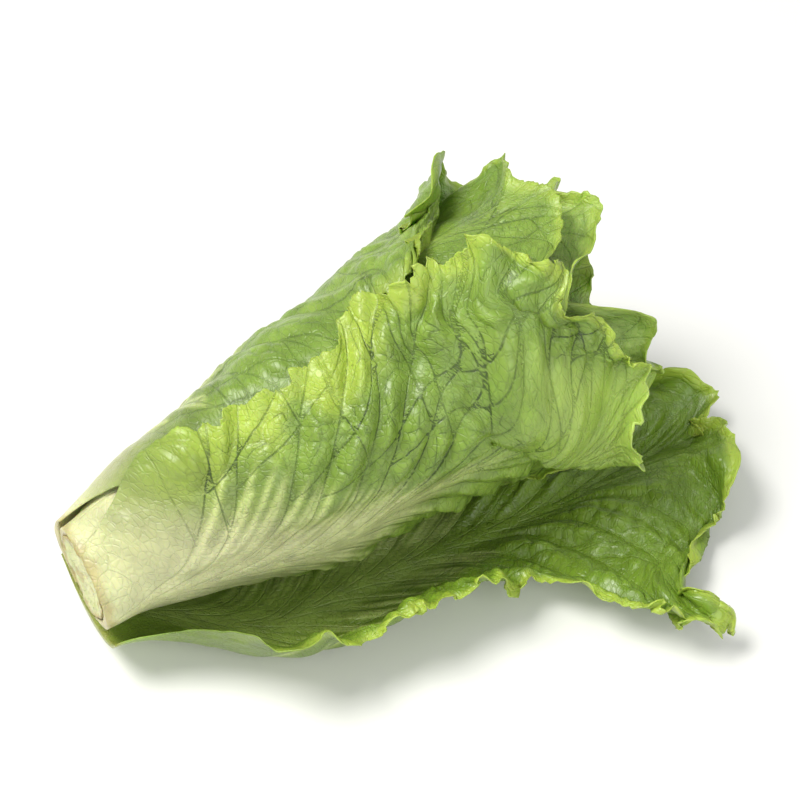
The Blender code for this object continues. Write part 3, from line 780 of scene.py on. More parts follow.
def torn(u, v, leaf_length, half_wide, depth, seed):
    """The grid's shares with the blade's edge torn in by small uneven teeth."""
    a = u * leaf_length
    b = v * half_wide
    side = np.sign(v)
    bites = 0.55 + 0.45 * noise(a / TOOTH_LENGTH + 9 * side, 3.1 + side, seed)
    bites = bites + 0.5 * np.abs(noise(a / SMALL_TOOTH_LENGTH + 5 * side, 1.7 + side, seed + 1))
    across = 1 - depth / half_wide * bites * np.abs(v) ** 9 * ease(0.1, 0.3, u)
    ends = 0.55 + 0.45 * noise(b / TOOTH_LENGTH, 7.3, seed + 2)
    ends = ends + 0.5 * np.abs(noise(b / SMALL_TOOTH_LENGTH, 4.9, seed + 3))
    along = 1 - depth / leaf_length * ends * u**30
    return u * along, v * across


def bent_on(points, normal, turned):
    """Bends a grid from its first column on: each later step is turned towards the normal by its angle."""
    step = points[:, 1:] - points[:, :-1]
    length = np.linalg.norm(step, axis=-1, keepdims=True)
    facing = normal[:, 1:]
    share = np.sum(facing * step, axis=-1, keepdims=True) / np.maximum(length, 1e-9) ** 2
    facing = facing - step * share
    facing = facing / np.maximum(np.linalg.norm(facing, axis=-1, keepdims=True), 1e-9)
    turn = turned[:, 1:, None]
    bent = np.cos(turn) * step + np.sin(turn) * length * facing
    return np.concatenate([points[:, :1], points[:, :1] + np.cumsum(bent, axis=1)], axis=1)


def curled_sides(points, turned):
    """Turns both sides of a blade outwards from its middle column, by an angle for each place."""
    normal = normals_of(points)
    middle = points.shape[1] // 2
    right = bent_on(points[:, middle:], normal[:, middle:], turned[:, middle:])
    left = bent_on(points[:, middle::-1], normal[:, middle::-1], turned[:, middle::-1])
    return np.concatenate([left[:, :0:-1], right], axis=1)


def curled_end(points, turned):
    """Turns a blade's end outwards, by an angle for each place."""
    normal = normals_of(points)
    start = int(0.6 * points.shape[0])
    bent = bent_on(*(grid[start:].swapaxes(0, 1) for grid in (points, normal, turned)))
    return np.concatenate([points[:start], bent.swapaxes(0, 1)], axis=0)


class Blade:
    """A leaf's grid: its shares, its places laid flat, and how far they are from its edge and its veins."""

    def __init__(self, leaf_length, widest, width_at, look, seed):
        self.look = look
        self.seed = seed
        rows = int(leaf_length / look.step)
        columns = 2 * int(widest / look.step)
        share_along, share_across = np.meshgrid(
            np.linspace(0, 1, rows + 1), np.linspace(-1, 1, columns + 1), indexing="ij"
        )
        wide = width_at(share_along, np.sign(share_across))
        self.u, self.v = torn(share_along, share_across, leaf_length, wide, look.tooth, seed)
        self.a = self.u * leaf_length
        self.b = self.v * wide
        from_side = (1 - np.abs(share_across)) * wide
        from_end = (1 - share_along) * leaf_length
        self.from_side, self.from_end = from_side, from_end
        self.edge = np.minimum(from_side, from_end)
        size = widest / LOWEST_HALF_WIDTH
        mains, forks = vein_paths(leaf_length, width_at, size, seed)
        self.to_main = nearest_on(mains, leaf_length, widest, self.a, self.b)
        self.to_vein = nearest_on(mains + forks, leaf_length, widest, self.a, self.b)
        self.main, self.fork = np.hypot(*self.to_main), np.hypot(*self.to_vein)
        stray_at = self.a / CELL_STRAY_SIZE, self.b / CELL_STRAY_SIZE
        stray_a = self.a + CELL_STRAY * noise(*stray_at, seed + 11)
        stray_b = self.b + CELL_STRAY * noise(*stray_at, seed + 12)
        cell = CELL_SIZE * max(0.6, size)
        border_a, border_b = to_cell_border(stray_a / cell, stray_b / (CELL_FLATNESS * cell), seed + 13)
        self.to_border = cell * border_a, CELL_FLATNESS * cell * border_b
        self.border = np.hypot(*self.to_border)
        ribs = rib_paths(leaf_length, width_at, size, seed)
        to_rib = np.hypot(*nearest_on(ribs, leaf_length, widest, self.a, self.b))
        self.rib = np.exp(-((to_rib / RIB_WIDTH) ** 2))
        # How pale and fleshy a place is: the foot and the midrib, less towards the end.
        reach = blend(0.62 * widest, 0.09 * widest, ease(0.0, 0.66, self.u))
        self.fleshy = np.exp(-((self.b / reach) ** 2)) * (1 - 0.7 * ease(0.5, 1.0, self.u))
        self.fleshy = np.maximum(self.fleshy, 1 - ease(0.0, 0.16, self.u))
        self.ribbed = ease(0.04, 0.30, self.fleshy) * (1 - 0.6 * ease(0.7, 1.0, self.fleshy))
        self.ribbed = self.ribbed * ease(0.02, 0.1, self.u) * (1 - ease(0.5, 0.75, self.u))
        spread = look.margin_spread * ease(0.0, 0.4, -self.v) * (1 - ease(0.6, 0.9, self.u))
        self.bright_reach = BRIGHT_REACH + spread

    def relief(self):
        """How far each place puffs out between the veins, with fine ribs along the fleshy foot."""
        look = self.look
        between = 1 - np.exp(-((self.main / VEIN_GROOVE) ** 2))
        smaller = 1 - np.exp(-((self.fork / FORK_GROOVE) ** 2))
        cells = 1 - np.exp(-((self.border / BORDER_GROOVE) ** 2))
        blade = 1 - self.fleshy
        lively = 0.75 + 0.5 * noise(self.a / 0.016, self.b / 0.013, self.seed + 22)
        puffed = 0.46 * between + (0.18 + 0.40 * between) * (smaller + cells) / 2
        puffed = look.puff * blade * lively * puffed
        side = np.abs(self.b)
        start = self.a - RIDGE_RUN * np.sqrt(side / RIDGE_SPREAD)
        ridges = noise(start / 0.012 + 7 * np.sign(self.b), side / 0.045, self.seed + 21)
        ridges = np.abs(ridges) + 0.5 * noise(self.a / 0.030, self.b / 0.024, self.seed + 24)
        broad = 0.85 * look.puff * (0.5 + ridges) * (0.1 + 0.9 * blade)
        return puffed + broad * ease(0.05, 0.3, self.u) + RIB_HEIGHT * self.rib * self.ribbed

    def frill(self, amount, phase, reach=0.016, length=0.030):
        """The angle by which the sides turn outwards: it comes and goes along the edge and is 0 inside it."""
        uneven = 2.2 * noise(self.a / 0.05, self.v, self.seed + 31)
        waves = 0.5 + 0.5 * np.sin(TURN * self.a / length + phase + uneven)
        drift = 3.0 * noise(self.a / 0.017, np.sign(self.v), self.seed + 32)
        small = 0.5 + 0.5 * np.sin(TURN * self.a / (0.37 * length) + 2 * phase + 3 * np.sign(self.v) + drift)
        near_edge = 1 - ease(0.0, reach, self.from_side)
        fading = ease(0.08, 0.28, self.u) * (1 - 0.75 * ease(0.88, 1.0, self.u))
        return amount * near_edge * (0.25 + 0.9 * waves + 0.3 * small) * fading

    def end_frill(self, amount, phase, reach=0.018, length=0.030):
        """The angle by which the end turns outwards."""
        waves = 0.5 + 0.5 * np.sin(TURN * self.b / length + phase)
        small = 0.5 + 0.5 * np.sin(TURN * self.b / (0.4 * length) + 2 * phase)
        near_edge = (1 - ease(0.0, reach, self.from_end)) * (1 - 0.8 * ease(0.75, 1.0, np.abs(self.v)))
        return amount * near_edge * (0.25 + 0.9 * waves + 0.3 * small)

    def colours(self, inside, flap=0.0):
        """The colour of each place, as it looks, of the outer face or of the inside one."""
        palette = PALETTES[self.look.slot]
        a, b, seed, look = self.a, self.b, self.seed, self.look
        patches = 0.5 + 0.5 * noise(a / 0.024, b / 0.013, seed + 41)
        speckle = 0.5 + 0.5 * noise(a / 0.0035, b / 0.0035, seed + 42)
        wide = self.bright_reach * (1 + 0.5 * noise(a / 0.013, b / 0.02, seed + 43))
        edge = 1 - ease(0.35 * wide, wide, self.edge)
        # Painted shade: the blade is darker near veins and cell borders, which lie in the grooves between its
        # puffed cells.
        painted_groove_shade = np.exp(-((np.minimum(self.fork, self.border) / 0.0014) ** 2))
        flesh = look.flesh * self.fleshy * (1 - 0.45 * ease(0.42, 0.80, self.u))
        bright = (0.30 + 0.62 * patches + 0.25 * speckle) * (1 - 0.30 * painted_groove_shade)
        colour = mixed(palette.deep, palette.inside if inside else palette.blade, bright)
        colour = mixed(colour, palette.light, 0.75 * ease(0.03, 0.6, flesh))
        colour = mixed(colour, palette.fleshy, ease(0.30, 0.9, flesh * (0.72 if inside else 1.0)))
        colour = mixed(colour, CREAM, ease(0.45, 0.95, flesh) * (1 - ease(0.22, 0.62, self.u)))
        colour = colour * (1 - 0.17 * self.ribbed * (1 - self.rib))[..., None]
        colour = mixed(colour, CREAM, 0.55 * self.ribbed * self.rib)
        colour = mixed(colour, MARGIN_GREEN, look.margin * edge * ease(0.05, 0.3, self.u))
        # Painted light: the flap above the fold is lightened, together with its inner side's own paler
        # colour.
        colour = mixed(colour, FLAP_INNER_AND_LIT_GREEN, 0.75 * flap)
        cut = 1 - ease(0.001, 0.005, a + 0.002 * noise(b / 0.003, a / 0.01, seed + 44))
        return mixed(colour, CUT_BROWN, 0.35 * cut)

    def line_colours(self, inside, flap=0.0):
        """The colour that veins and cell borders have at each place, and how strongly they show."""
        edge = 1 - ease(0.004, 0.014, self.edge)
        patchy = 0.62 + 0.45 * noise(self.a / 0.012, self.b / 0.012, self.seed + 61)
        if inside:
            share = 0.7 * self.look.net * patchy * (1 - 0.5 * edge) * ease(0.08, 0.2, self.u)
        else:
            fleshy = ease(0.25, 0.75, self.fleshy)
            share = patchy * (1 - 0.45 * fleshy) * (1 - 0.5 * edge) * (1 - 0.6 * flap)
            share = self.look.net * share * (1 - 0.6 * ease(0.9, 1.0, self.fleshy))
        line_green = PALETTES[self.look.slot].light if inside else VEIN_GREEN
        colour = linear(line_green) + np.zeros((*share.shape, 3))
        return np.concatenate([colour, np.clip(share, 0, 1)[..., None]], axis=-1)


def above_floor(outer, inner):
    """Both faces, lifted together where they would sink into what they lie on."""
    lift = np.maximum(FLOOR_ROOM - np.minimum(outer[..., 2], inner[..., 2]), 0)
    raised = lift[..., None] * np.array((0.0, 0.0, 1.0))
    return outer + raised, inner + raised


def mixed(first, last, share):
    """From one colour or grid of colours to another."""
    first, last = np.asarray(first, float), np.asarray(last, float)
    return first + (last - first) * np.asarray(share)[..., None]


def set_values(mesh, name, kind, values):
    """A value for each vertex, kept in the mesh for its material."""
    key = "color" if kind == "FLOAT_COLOR" else "vector"
    attribute = mesh.attributes.new(name, kind, "POINT")
    attribute.data.foreach_set(key, np.ascontiguousarray(values, np.float32).ravel())


def set_tint(mesh, colours):
    """Colours as they look, kept in the mesh as the light that they hold."""
    colours = colours.reshape(-1, 3)
    shown = np.concatenate([linear(np.clip(colours, 0, 1)), np.ones((len(colours), 1))], axis=1)
    set_values(mesh, "tint", "FLOAT_COLOR", shown)


def blade_mesh(name, outer, inner, blade, flap=0.0):
    """A closed blade of quads from its two grids of points, with what its material reads at each place."""
    rows, columns = outer.shape[:2]
    count = rows * columns
    index = np.arange(count).reshape(rows, columns)
    corners = [index[:-1, :-1], index[:-1, 1:], index[1:, 1:], index[1:, :-1]]
    front = np.stack(corners, axis=-1).reshape(-1, 4)
    back = front[:, ::-1] + count
    rim = np.concatenate([index[:-1, 0], index[-1, :-1], index[:0:-1, -1], index[0, :0:-1]])
    after = np.roll(rim, -1)
    sides = np.stack([after, rim, rim + count, after + count], axis=-1)[:, ::-1]
    faces = np.concatenate([front, back, sides])
    points = np.concatenate([outer.reshape(-1, 3), inner.reshape(-1, 3)])
    mesh = bpy.data.meshes.new(name)
    mesh.vertices.add(len(points))
    mesh.vertices.foreach_set("co", points.astype(np.float32).ravel())
    mesh.loops.add(4 * len(faces))
    mesh.loops.foreach_set("vertex_index", faces.astype(np.int32).ravel())
    mesh.polygons.add(len(faces))
    mesh.polygons.foreach_set("loop_start", np.arange(0, 4 * len(faces), 4, dtype=np.int32))
    mesh.update(calc_edges=True)
    mesh.shade_smooth()
    set_tint(mesh, np.stack([blade.colours(inside, flap) for inside in (False, True)]))
    lines = np.stack([blade.line_colours(inside, flap) for inside in (False, True)])
    set_values(mesh, "line_tint", "FLOAT_COLOR", lines)
    flat = np.stack([blade.a + blade.seed, blade.b, np.zeros_like(blade.a)], axis=-1)
    to_vein = np.stack([*blade.to_vein, blade.fork], axis=-1)
    hidden = (blade.fork < BORDER_HIDDEN) | (blade.ribbed > 0.3)
    to_border = [np.where(hidden, VEIN_REACH, border) for border in blade.to_border]
    to_border = np.stack([*to_border, np.hypot(*to_border)], axis=-1)
    for key, values in (("laid_flat", flat), ("to_vein", to_vein), ("to_border", to_border)):
        set_values(mesh, key, "FLOAT_VECTOR", np.stack([values, values]))
    return mesh


def shown_piece(name, mesh, material, node):
    """A piece that stands for a node of the frame."""
    mesh.materials.append(material)
    piece = bpy.data.objects.new(name, mesh)
    bpy.context.scene.collection.objects.link(piece)
    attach(piece, "root")
    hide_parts(node)
    return piece


# Materials.


# The tissue's fine patterns, in cells a metre: the finest net of veins and how far it strays, mottled shades,
# drops of water and pores.
NET_SCALE = 420.0
NET_STRAY_SCALE = 260.0
NET_STRAY = 0.0011
NET_LINE = 0.16
MOTTLE_SCALE = 130.0
MOTTLE_SHADES = (0.80, 1.16)
DROP_SCALE = 150.0
DROP_RARITY = 0.80
DROP_SIZE = 0.26
DROP_EDGE = 0.07
DROP_ROUGHNESS = 0.05
PORE_SCALE = 900.0

# How high pores and drops stand beside the finest veins in the bump, and how deep drawn lines are sunk.
PORE_HEIGHT = 0.25
DROP_HEIGHT = 2.4
LINE_DEPTH = -1.6
BUMP_STRENGTH = 0.6

# How light spreads in the tissue, as shares of its reach in red, green and blue, and how it shines.
GLOW_COLOURS = (0.55, 1.0, 0.16)
COAT_ROUGHNESS = 0.24
SPECULAR = 0.45

# What each tissue is like: its roughness and its coat, how strongly and how far light passes, how strongly
# its finest net shows, and how high that stands.
Tissue = namedtuple("Tissue", "roughness coat glow glow_reach network bump")
TISSUES = {
    "outer_leaf": Tissue(0.40, 0.22, 0.30, 0.0016, 0.14, 0.00030),
    "lowest_leaf": Tissue(0.36, 0.28, 0.25, 0.0014, 0.16, 0.00035),
    "wrapper_leaf": Tissue(0.42, 0.15, 0.35, 0.0018, 0.10, 0.00025),
    "heart_leaf": Tissue(0.45, 0.10, 0.40, 0.0020, 0.06, 0.00020),
    "cut_stem": Tissue(0.55, 0.10, 0.25, 0.0020, 0.05, 0.00030),
}


def set_inputs(material, node, inputs):
    """Sets a node's inputs, or links them where another node's output is given."""
    for key, value in inputs.items():
        if isinstance(value, bpy.types.NodeSocket):
            material.node_tree.links.new(value, node.inputs[key])
        else:
            node.inputs[key].default_value = value


def add_node(material, kind, place, inputs, **settings):
    node = material.node_tree.nodes.new("ShaderNode" + kind)
    node.location = (220 * place[0], -220 * place[1])
    for key, value in settings.items():
        setattr(node, key, value)
    set_inputs(material, node, inputs)
    return node


def add_sum(material, place, operation, *terms):
    """The result of a sum on other nodes' outputs or on numbers."""
    return add_node(material, "Math", place, dict(enumerate(terms)), operation=operation).outputs["Value"]


def add_range(material, place, value, limits, results=(0.0, 1.0), course="LINEAR"):
    """A value carried over from between two limits to between two results."""
    inputs = {
        "Value": value,
        "From Min": limits[0],
        "From Max": limits[1],
        "To Min": results[0],
        "To Max": results[1],
    }
    return add_node(material, "MapRange", place, inputs, interpolation_type=course).outputs["Result"]


def drawn_line(material, attribute, width, row):
    """1 on the lines that an attribute's vectors lead to, and 0 beside them.

    Halfway between two lines the vectors turn round, so places far from any line are left out by the third
    value.
    """
    steps = add_node(material, "Attribute", (-10, row), {}, attribute_name=attribute).outputs["Vector"]
    flat = add_node(material, "VectorMath", (-9, row), {0: steps, 1: (1.0, 1.0, 0.0)}, operation="MULTIPLY")
    away = add_node(material, "VectorMath", (-8, row), {0: flat.outputs["Vector"]}, operation="LENGTH")
    limits = (0.2 * width, width)
    thin = add_range(material, (-7, row), away.outputs["Value"], limits, (1.0, 0.0), "SMOOTHSTEP")
    parts = add_node(material, "SeparateXYZ", (-9, row + 1), {"Vector": steps})
    near = add_range(material, (-7, row + 1), parts.outputs["Z"], LINE_ZONE, (1.0, 0.0), "SMOOTHSTEP")
    return add_sum(material, (-6, row), "MULTIPLY", thin, near)


def drops_on(material, place):
    """1 on drops of water, which stand in a few of the cells of a wide pattern, and 0 beside them."""
    cells = add_node(material, "TexVoronoi", (-6, 6), {"Vector": place, "Scale": DROP_SCALE})
    chosen = add_node(material, "SeparateColor", (-5, 6), {"Color": cells.outputs["Color"]})
    size = add_range(material, (-4, 6), chosen.outputs["Red"], (DROP_RARITY, 1.0), (0.0, DROP_SIZE))
    dome = add_sum(material, (-3, 6), "SUBTRACT", size, cells.outputs["Distance"])
    return add_range(material, (-2, 6), dome, (0.0, DROP_EDGE), course="SMOOTHSTEP")


def wet_tissue(name, tissue):
    """Living tissue: the mesh's own colour, a fine net of veins, drops of water and light that passes.

    Roughness is set as a plain value too, for exports that read no nodes.
    """
    material = bpy.data.materials.new(name)
    material.use_nodes = True
    shader = material.node_tree.nodes["Principled BSDF"]
    set_inputs(material, shader, {
        "Roughness": tissue.roughness,
        "Coat Weight": tissue.coat,
        "Coat Roughness": COAT_ROUGHNESS,
        "Subsurface Weight": tissue.glow,
        "Subsurface Radius": GLOW_COLOURS,
        "Subsurface Scale": tissue.glow_reach,
        "Specular IOR Level": SPECULAR,
    })
    tint = add_node(material, "Attribute", (-7, 0), {}, attribute_name="tint").outputs["Color"]
    line_tint = add_node(material, "Attribute", (-6, 9), {}, attribute_name="line_tint").outputs
    place = add_node(material, "Attribute", (-9, 2), {}, attribute_name="laid_flat").outputs["Vector"]

    stray = add_node(material, "TexNoise", (-8, 3), {"Vector": place, "Scale": NET_STRAY_SCALE})
    shift = {0: stray.outputs["Color"], 1: (NET_STRAY, NET_STRAY, 0.0), 2: place}
    shifted = add_node(material, "VectorMath", (-7, 3), shift, operation="MULTIPLY_ADD").outputs["Vector"]
    cells = {"Vector": shifted, "Scale": NET_SCALE}
    net = add_node(material, "TexVoronoi", (-6, 2), cells, feature="DISTANCE_TO_EDGE").outputs["Distance"]
    between = add_range(material, (-5, 2), net, (0.0, NET_LINE), course="SMOOTHSTEP")
    depth = add_sum(material, (-5, 3), "MULTIPLY", line_tint["Alpha"], tissue.network)
    netted = add_range(material, (-4, 3), between, (1.0, 0.0), (0.0, depth))
    mottle = add_node(material, "TexNoise", (-6, 4), {"Vector": place, "Scale": MOTTLE_SCALE, "Detail": 5.0})
    shade = add_range(material, (-5, 4), mottle.outputs["Fac"], (0.25, 0.75), MOTTLE_SHADES)
    shades = add_sum(material, (-3, 3), "SUBTRACT", shade, netted)

    veins = drawn_line(material, "to_vein", VEIN_WIDTH, 10)
    borders = drawn_line(material, "to_border", BORDER_WIDTH, 12)
    fainter = add_sum(material, (-5, 12), "MULTIPLY", borders, BORDER_SHARE)
    lines = add_sum(material, (-5, 10), "MAXIMUM", veins, fainter)
    shown = add_sum(material, (-4, 10), "MULTIPLY", lines, line_tint["Alpha"])
    mix = {"Factor": shown, "A": tint, "B": line_tint["Color"]}
    lined = add_node(material, "Mix", (-3, 0), mix, data_type="RGBA").outputs["Result"]
    shaded = add_node(material, "VectorMath", (-2, 0), {0: lined, "Scale": shades}, operation="SCALE")

    drop = drops_on(material, shifted)
    pores = add_node(material, "TexNoise", (-5, 8), {"Vector": place, "Scale": PORE_SCALE, "Detail": 3.0})
    heights = add_sum(material, (-3, 8), "MULTIPLY_ADD", pores.outputs["Fac"], PORE_HEIGHT, between)
    heights = add_sum(material, (-2, 8), "MULTIPLY_ADD", drop, DROP_HEIGHT, heights)
    heights = add_sum(material, (-1, 9), "MULTIPLY_ADD", lines, LINE_DEPTH, heights)
    relief = {"Strength": BUMP_STRENGTH, "Distance": tissue.bump, "Height": heights}
    wet = add_range(material, (-1, 5), drop, (0.0, 1.0), (tissue.roughness, DROP_ROUGHNESS))
    set_inputs(material, shader, {
        "Base Color": shaded.outputs["Vector"],
        "Roughness": add_sum(material, (0, 5), "MULTIPLY", wet, shade),
        "Normal": add_node(material, "Bump", (0, 8), relief).outputs["Normal"],
    })
    return material


# The pieces.


def fold_slide(leaf, u, v):
    """How far along the blade the fold's crest leans over, towards the lower side."""
    if leaf.name != "outer_leaf_front":
        return 0.0
    above = above_crest(u, v)
    slide = FOLD_SLIDE * ease(FOLD_START - 0.04, 0.80, u) * (1 - 0.55 * ease(0.88, 1.0, u))
    return slide * ease(-2.4, -0.5, above) * (1 - ease(-0.35, 0.40, above))


def resting(leaf, u, v):
    """1 where the front and back leaves' upper margins lie down on what is under them, near their feet."""
    side = {"outer_leaf_front": -v, "outer_leaf_back": v}.get(leaf.name, -1.0)
    return ease(0.3, 0.7, side) * (1 - ease(0.45, 0.70, u))


def tucked(leaf, u, v):
    """How much further round the head places lie than on the solids.

    The back leaf's upper margin reaches on under the front leaf, whose foot wraps the stem and whose end is
    drawn up.
    """
    if leaf.name == "outer_leaf_back":
        return MARGIN_TUCK * ease(0.4, 1.0, v) * ease(0.12, 0.30, u) * (1 - ease(0.50, 0.68, u))
    if leaf.name == "outer_leaf_front":
        wrapped = FOOT_WRAP * ease(0.1, 1.0, -v) * (1 - ease(0.04, 0.22, u))
        return -wrapped - END_DRAWN * ease(0.70, 1.0, u) * ease(-0.5, 0.2, v)
    return 0.0


def flattened(leaf, u, v):
    """How far those margins are let down."""
    return 0.85 * resting(leaf, u, v) * ruffle(leaf, u, v)


def flap_share(leaf, u, v):
    """1 on the front leaf's end above its fold, which shows its smoother inner side's colour, with painted
    light on the fold's lit upper side.
    """
    if leaf.name != "outer_leaf_front":
        return 0.0
    above = above_crest(u, v)
    return ease(0.70, 0.86, u) * ease(-2.4, -1.6, above) * (1 - ease(-0.5, -0.1, above))


def show_leaf(node, middle, half_thick, blade, material, flap=0.0):
    """The finished leaf: its two faces on either side of its middle surface, in place of its solid."""
    step = normals_of(middle) * half_thick[..., None]
    outer, inner = above_floor(middle + step, middle - step)
    mesh = blade_mesh(node + "_leaf", outer, inner, blade, flap)
    shown_piece(node + "_blade", mesh, material, node)


def dress_leaf(leaf, look, cover, free, axis_heights, material, seed):
    """A leaf of the head in full detail."""
    blade = Blade(leaf.length, leaf.half_width, lambda share, side: half_width(leaf, share), look, seed)
    u, v = blade.u, blade.v
    if leaf.name == "outer_leaf_front":
        u = u - CORNER_CUT * ease(0.1, 0.7, v) * ease(0.55, 1.0, u)
    station, bearing = station_of(leaf, u, v), bearing_of(leaf, u, v) + tucked(leaf, u, v)
    radius = laid_radius(leaf, u, v, cover)
    openness = np.clip(sampled(free, station, bearing), 0, 1)
    radius = radius - flattened(leaf, u, v)
    middle = in_space(station, bearing + fold_slide(leaf, u, v) / radius, radius, axis_heights)
    raised = (blade.relief() - RELIEF_SUNK * look.puff * ease(0.1, 0.4, u)) * blend(0.12, 1.0, openness)
    flap = flap_share(leaf, u, v)
    raised = raised * (1 - 0.65 * flap)
    middle = middle + normals_of(middle) * raised[..., None]
    edge_free = ease(0.55, 0.95, openness) * (1 - 0.8 * resting(leaf, u, v))
    middle = curled_sides(middle, blade.frill(look.side_curl, leaf.phase) * edge_free)
    middle = curled_end(middle, blade.end_frill(look.end_curl, leaf.phase) * edge_free)
    half_thick = 0.5 * thickness(blade.u, blade.v, leaf.half_width, SHOWN_MARGIN_THICKNESS)
    show_leaf(leaf.name, middle, half_thick, blade, material, flap)


def dress_lowest(cover, axis_heights, material, seed):
    """The lowest leaf: its cells puff up into the cup, its front margin turns down and its end curls up."""
    look = LOOKS["outer_leaf_lowest"]

    def width_at(share, side):
        return lowest_half_width(share, -0.1 * side)

    blade = Blade(LOWEST_LENGTH, LOWEST_FAN_WIDTH, width_at, look, seed)
    u, v = blade.u, blade.v
    half_thick = 0.5 * thickness(u, v, LOWEST_HALF_WIDTH, SHOWN_MARGIN_THICKNESS)
    middle = lowest_middle(u, -v, cover, axis_heights)
    room = beside_head(middle, cover, axis_heights)[2] - ROOM_KEPT
    middle = middle - normals_of(middle) * (blade.relief() * ease(0.0, 0.008, room))[..., None]
    front = v < 0
    outward = blade.frill(amount=1.5, phase=0.8, reach=0.014, length=0.026)
    outward = outward * front * (1 - ease(0.55, 0.8, u))
    inward = blade.frill(amount=1.1, phase=2.1, reach=0.020, length=0.034)
    inward = inward * (~front + front * ease(0.6, 0.85, u))
    inward = inward * ease(0.0, 0.010, room)
    middle = curled_sides(middle, outward - inward)
    middle = curled_end(middle, -blade.end_frill(look.end_curl, phase=1.2, reach=0.022, length=0.034))
    show_leaf("outer_leaf_lowest", middle, half_thick, blade, material)


def dress_stem(axis_heights, material):
    """The cut stem: a rough, slightly hollowed face, browned at its rim, and smooth sides inside the head."""
    bearings = np.arange(STEM_SIDES) * TURN / STEM_SIDES
    shares = np.linspace(0.02, 1, STEM_FACE_RINGS)[:, None] * np.ones(STEM_SIDES)
    round_way = bearings[None, :] * np.ones_like(shares)
    rim = STEM_RADIUS + STEM_FLARE
    face_radius = shares * rim
    fy, fz = face_radius * np.sin(round_way), face_radius * np.cos(round_way)
    rough = 0.00035 * noise(fy / 0.0016, fz / 0.0016, 71) + 0.0006 * noise(fy / 0.006, fz / 0.006, 72)
    face_station = 0.0016 * (1 - shares**6) * (1 - 0.6 * shares**2) + rough
    sides = STEM_LENGTH * STEM_BLUNT * np.linspace(0.01, 1, STEM_RINGS)[:, None] * np.ones(STEM_SIDES)
    side_way = bearings[None, :] * np.ones_like(sides)
    side_radius = stem_radius(sides) + STEM_FLARE * (1 - ease(0, STEM_FLARE_LENGTH, sides))
    side_radius = side_radius + 0.0003 * noise(side_way * 4, sides / 0.004, 73)
    station = np.concatenate([face_station, sides])
    way = np.concatenate([round_way, side_way])
    radius = np.concatenate([face_radius, side_radius])
    points = in_space(station, way, radius, axis_heights)
    middles = [points[0].mean(axis=0), points[-1].mean(axis=0)]
    count = len(points) * STEM_SIDES
    index = np.arange(count).reshape(-1, STEM_SIDES)
    after = np.roll(index, -1, axis=1)
    quads = np.stack([index[:-1], index[1:], after[1:], after[:-1]], axis=-1).reshape(-1, 4)
    first = [(count, index[0, j], after[0, j]) for j in range(STEM_SIDES)]
    last = [(count + 1, after[-1, j], index[-1, j]) for j in range(STEM_SIDES)]
    faces = quads.tolist() + np.array(first + last).tolist()
    mesh = bpy.data.meshes.new("cut_stem_body")
    mesh.from_pydata(np.concatenate([points.reshape(-1, 3), middles]).tolist(), [], faces)
    mesh.shade_smooth()
    ring = np.concatenate([shares, np.ones_like(sides)])
    depth = np.concatenate([np.zeros_like(shares), sides])
    y, z = radius * np.sin(way), radius * np.cos(way)
    colour = mixed(CREAM, PETIOLE_GREEN, 0.5 * np.exp(-(((ring - 0.72) / 0.10) ** 2)) * (depth < 1e-6))
    browned = ease(0.1, 0.8, noise(y / 0.004, z / 0.004, 74)) * (depth < 0.004)
    colour = mixed(colour, CUT_BROWN, 0.35 * browned)
    colour = mixed(colour, CUT_BROWN, 0.55 * ease(0.86, 1.0, ring) * (1 - ease(0.002, 0.006, depth)))
    set_tint(mesh, np.concatenate([colour.reshape(-1, 3), [CREAM, CREAM]]))
    flat = np.stack([y, z, depth], axis=-1).reshape(-1, 3)
    set_values(mesh, "laid_flat", "FLOAT_VECTOR", np.concatenate([flat, np.zeros((2, 3))]))
    for key in ("to_vein", "to_border"):
        set_values(mesh, key, "FLOAT_VECTOR", np.full((len(flat) + 2, 3), VEIN_REACH))
    shown_piece("cut_stem_body", mesh, material, "cut_stem")


def make_leaves_and_stem():
    leaves = heart_leaves() + list(WRAPPER_LEAVES + OUTER_LEAVES)
    covers, places, taken = lay_leaves(leaves)
    axis_heights = axis_height_curve(taken)
    last_cover = smooth_cover(taken)
    frees = free_fields(places + [pressed_by_lowest(last_cover, axis_heights)])
    tissues = {name: wet_tissue(name + "_tissue", tissue) for name, tissue in TISSUES.items()}
    for k, (leaf, cover, free) in enumerate(zip(leaves, covers, frees)):
        look = LOOKS[leaf.name if leaf.name in LOOKS else leaf.name.split("_")[0]]
        dress_leaf(leaf, look, cover, free, axis_heights, tissues[look.slot], FIRST_SEED + k)
    dress_lowest(last_cover, axis_heights, tissues["lowest_leaf"], LOWEST_SEED)
    dress_stem(axis_heights, tissues["cut_stem"])


# The stage, the light and the camera.

FLOOR_HALF = 1.6
FLOOR_GREY = (0.94, 0.94, 0.93)
CAMERA_AZIMUTH = -30.0
CAMERA_ELEVATION = 50.0
CAMERA_DISTANCE = 0.83
CAMERA_LENS = 95.0
LOOK_AT = (0.034, -0.002, 0.062)
WORLD_STRENGTH = 0.52


def direction(azimuth, elevation):
    """From the object towards a place round it. Azimuth 0 is in front (-Y), 90 is at +X."""
    a, e = math.radians(azimuth), math.radians(elevation)
    return Vector((math.sin(a) * math.cos(e), -math.cos(a) * math.cos(e), math.sin(e)))


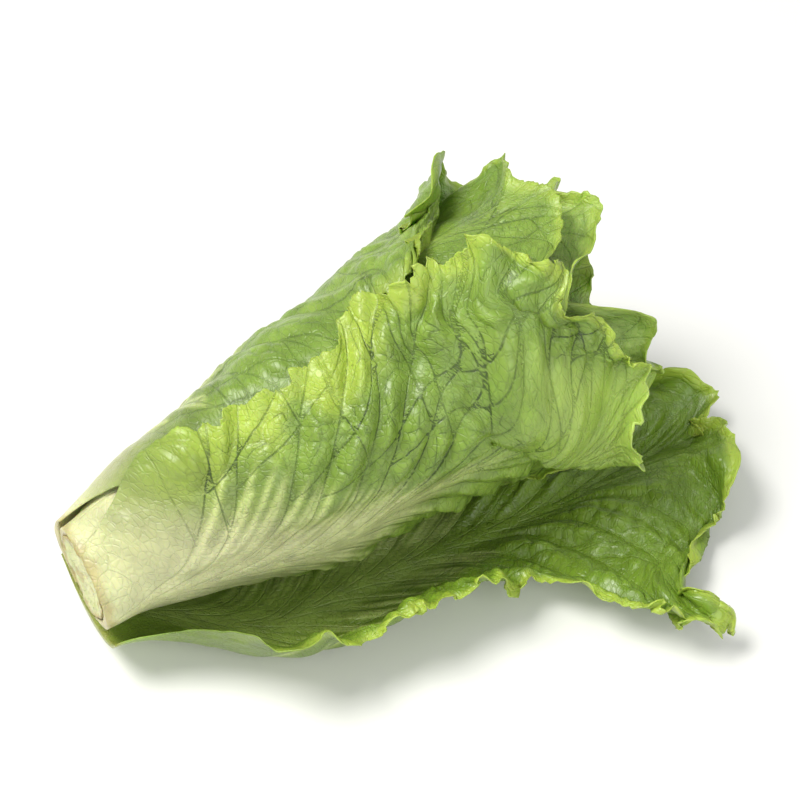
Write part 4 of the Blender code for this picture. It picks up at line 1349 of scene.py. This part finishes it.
def make_floor():
    mesh = bpy.data.meshes.new("floor")
    s = FLOOR_HALF
    mesh.from_pydata([(-s, -s, 0), (s, -s, 0), (s, s, 0), (-s, s, 0)], [], [(0, 1, 2, 3)])
    material = bpy.data.materials.new("floor")
    material.use_nodes = True
    shader = material.node_tree.nodes["Principled BSDF"]
    shader.inputs["Base Color"].default_value = (*linear(FLOOR_GREY), 1)
    shader.inputs["Roughness"].default_value = 0.8
    mesh.materials.append(material)
    floor = bpy.data.objects.new("floor", mesh)
    bpy.context.scene.collection.objects.link(floor)


def add_light(name, azimuth, elevation, distance, size, power, colour):
    light = bpy.data.lights.new(name, "AREA")
    light.shape = "DISK"
    light.size = size
    light.energy = power
    light.color = colour
    lamp = bpy.data.objects.new(name, light)
    bpy.context.scene.collection.objects.link(lamp)
    back = direction(azimuth, elevation)
    lamp.location = Vector(LOOK_AT) + back * distance
    lamp.rotation_mode = "QUATERNION"
    lamp.rotation_quaternion = (-back).to_track_quat("-Z", "Y")


def make_light():
    world = bpy.data.worlds.new("soft_white")
    bpy.context.scene.world = world
    world.use_nodes = True
    background = world.node_tree.nodes["Background"]
    background.inputs["Color"].default_value = (1.0, 1.0, 1.0, 1.0)
    background.inputs["Strength"].default_value = WORLD_STRENGTH
    add_light("key", -120, 62, distance=1.3, size=0.7, power=16.5, colour=(1.0, 0.985, 0.94))
    add_light("fill", -5, 38, distance=1.4, size=1.1, power=6.5, colour=(0.98, 0.99, 1.0))


def make_camera():
    bpy.context.scene.view_settings.view_transform = "Standard"
    camera = bpy.data.objects.new("camera", bpy.data.cameras.new("camera"))
    bpy.context.scene.collection.objects.link(camera)
    bpy.context.scene.camera = camera
    camera.data.lens = CAMERA_LENS
    back = direction(CAMERA_AZIMUTH, CAMERA_ELEVATION)
    camera.location = Vector(LOOK_AT) + back * CAMERA_DISTANCE
    camera.rotation_mode = "QUATERNION"
    camera.rotation_quaternion = (-back).to_track_quat("-Z", "Y")


make_leaves_and_stem()
make_floor()
make_light()
make_camera()
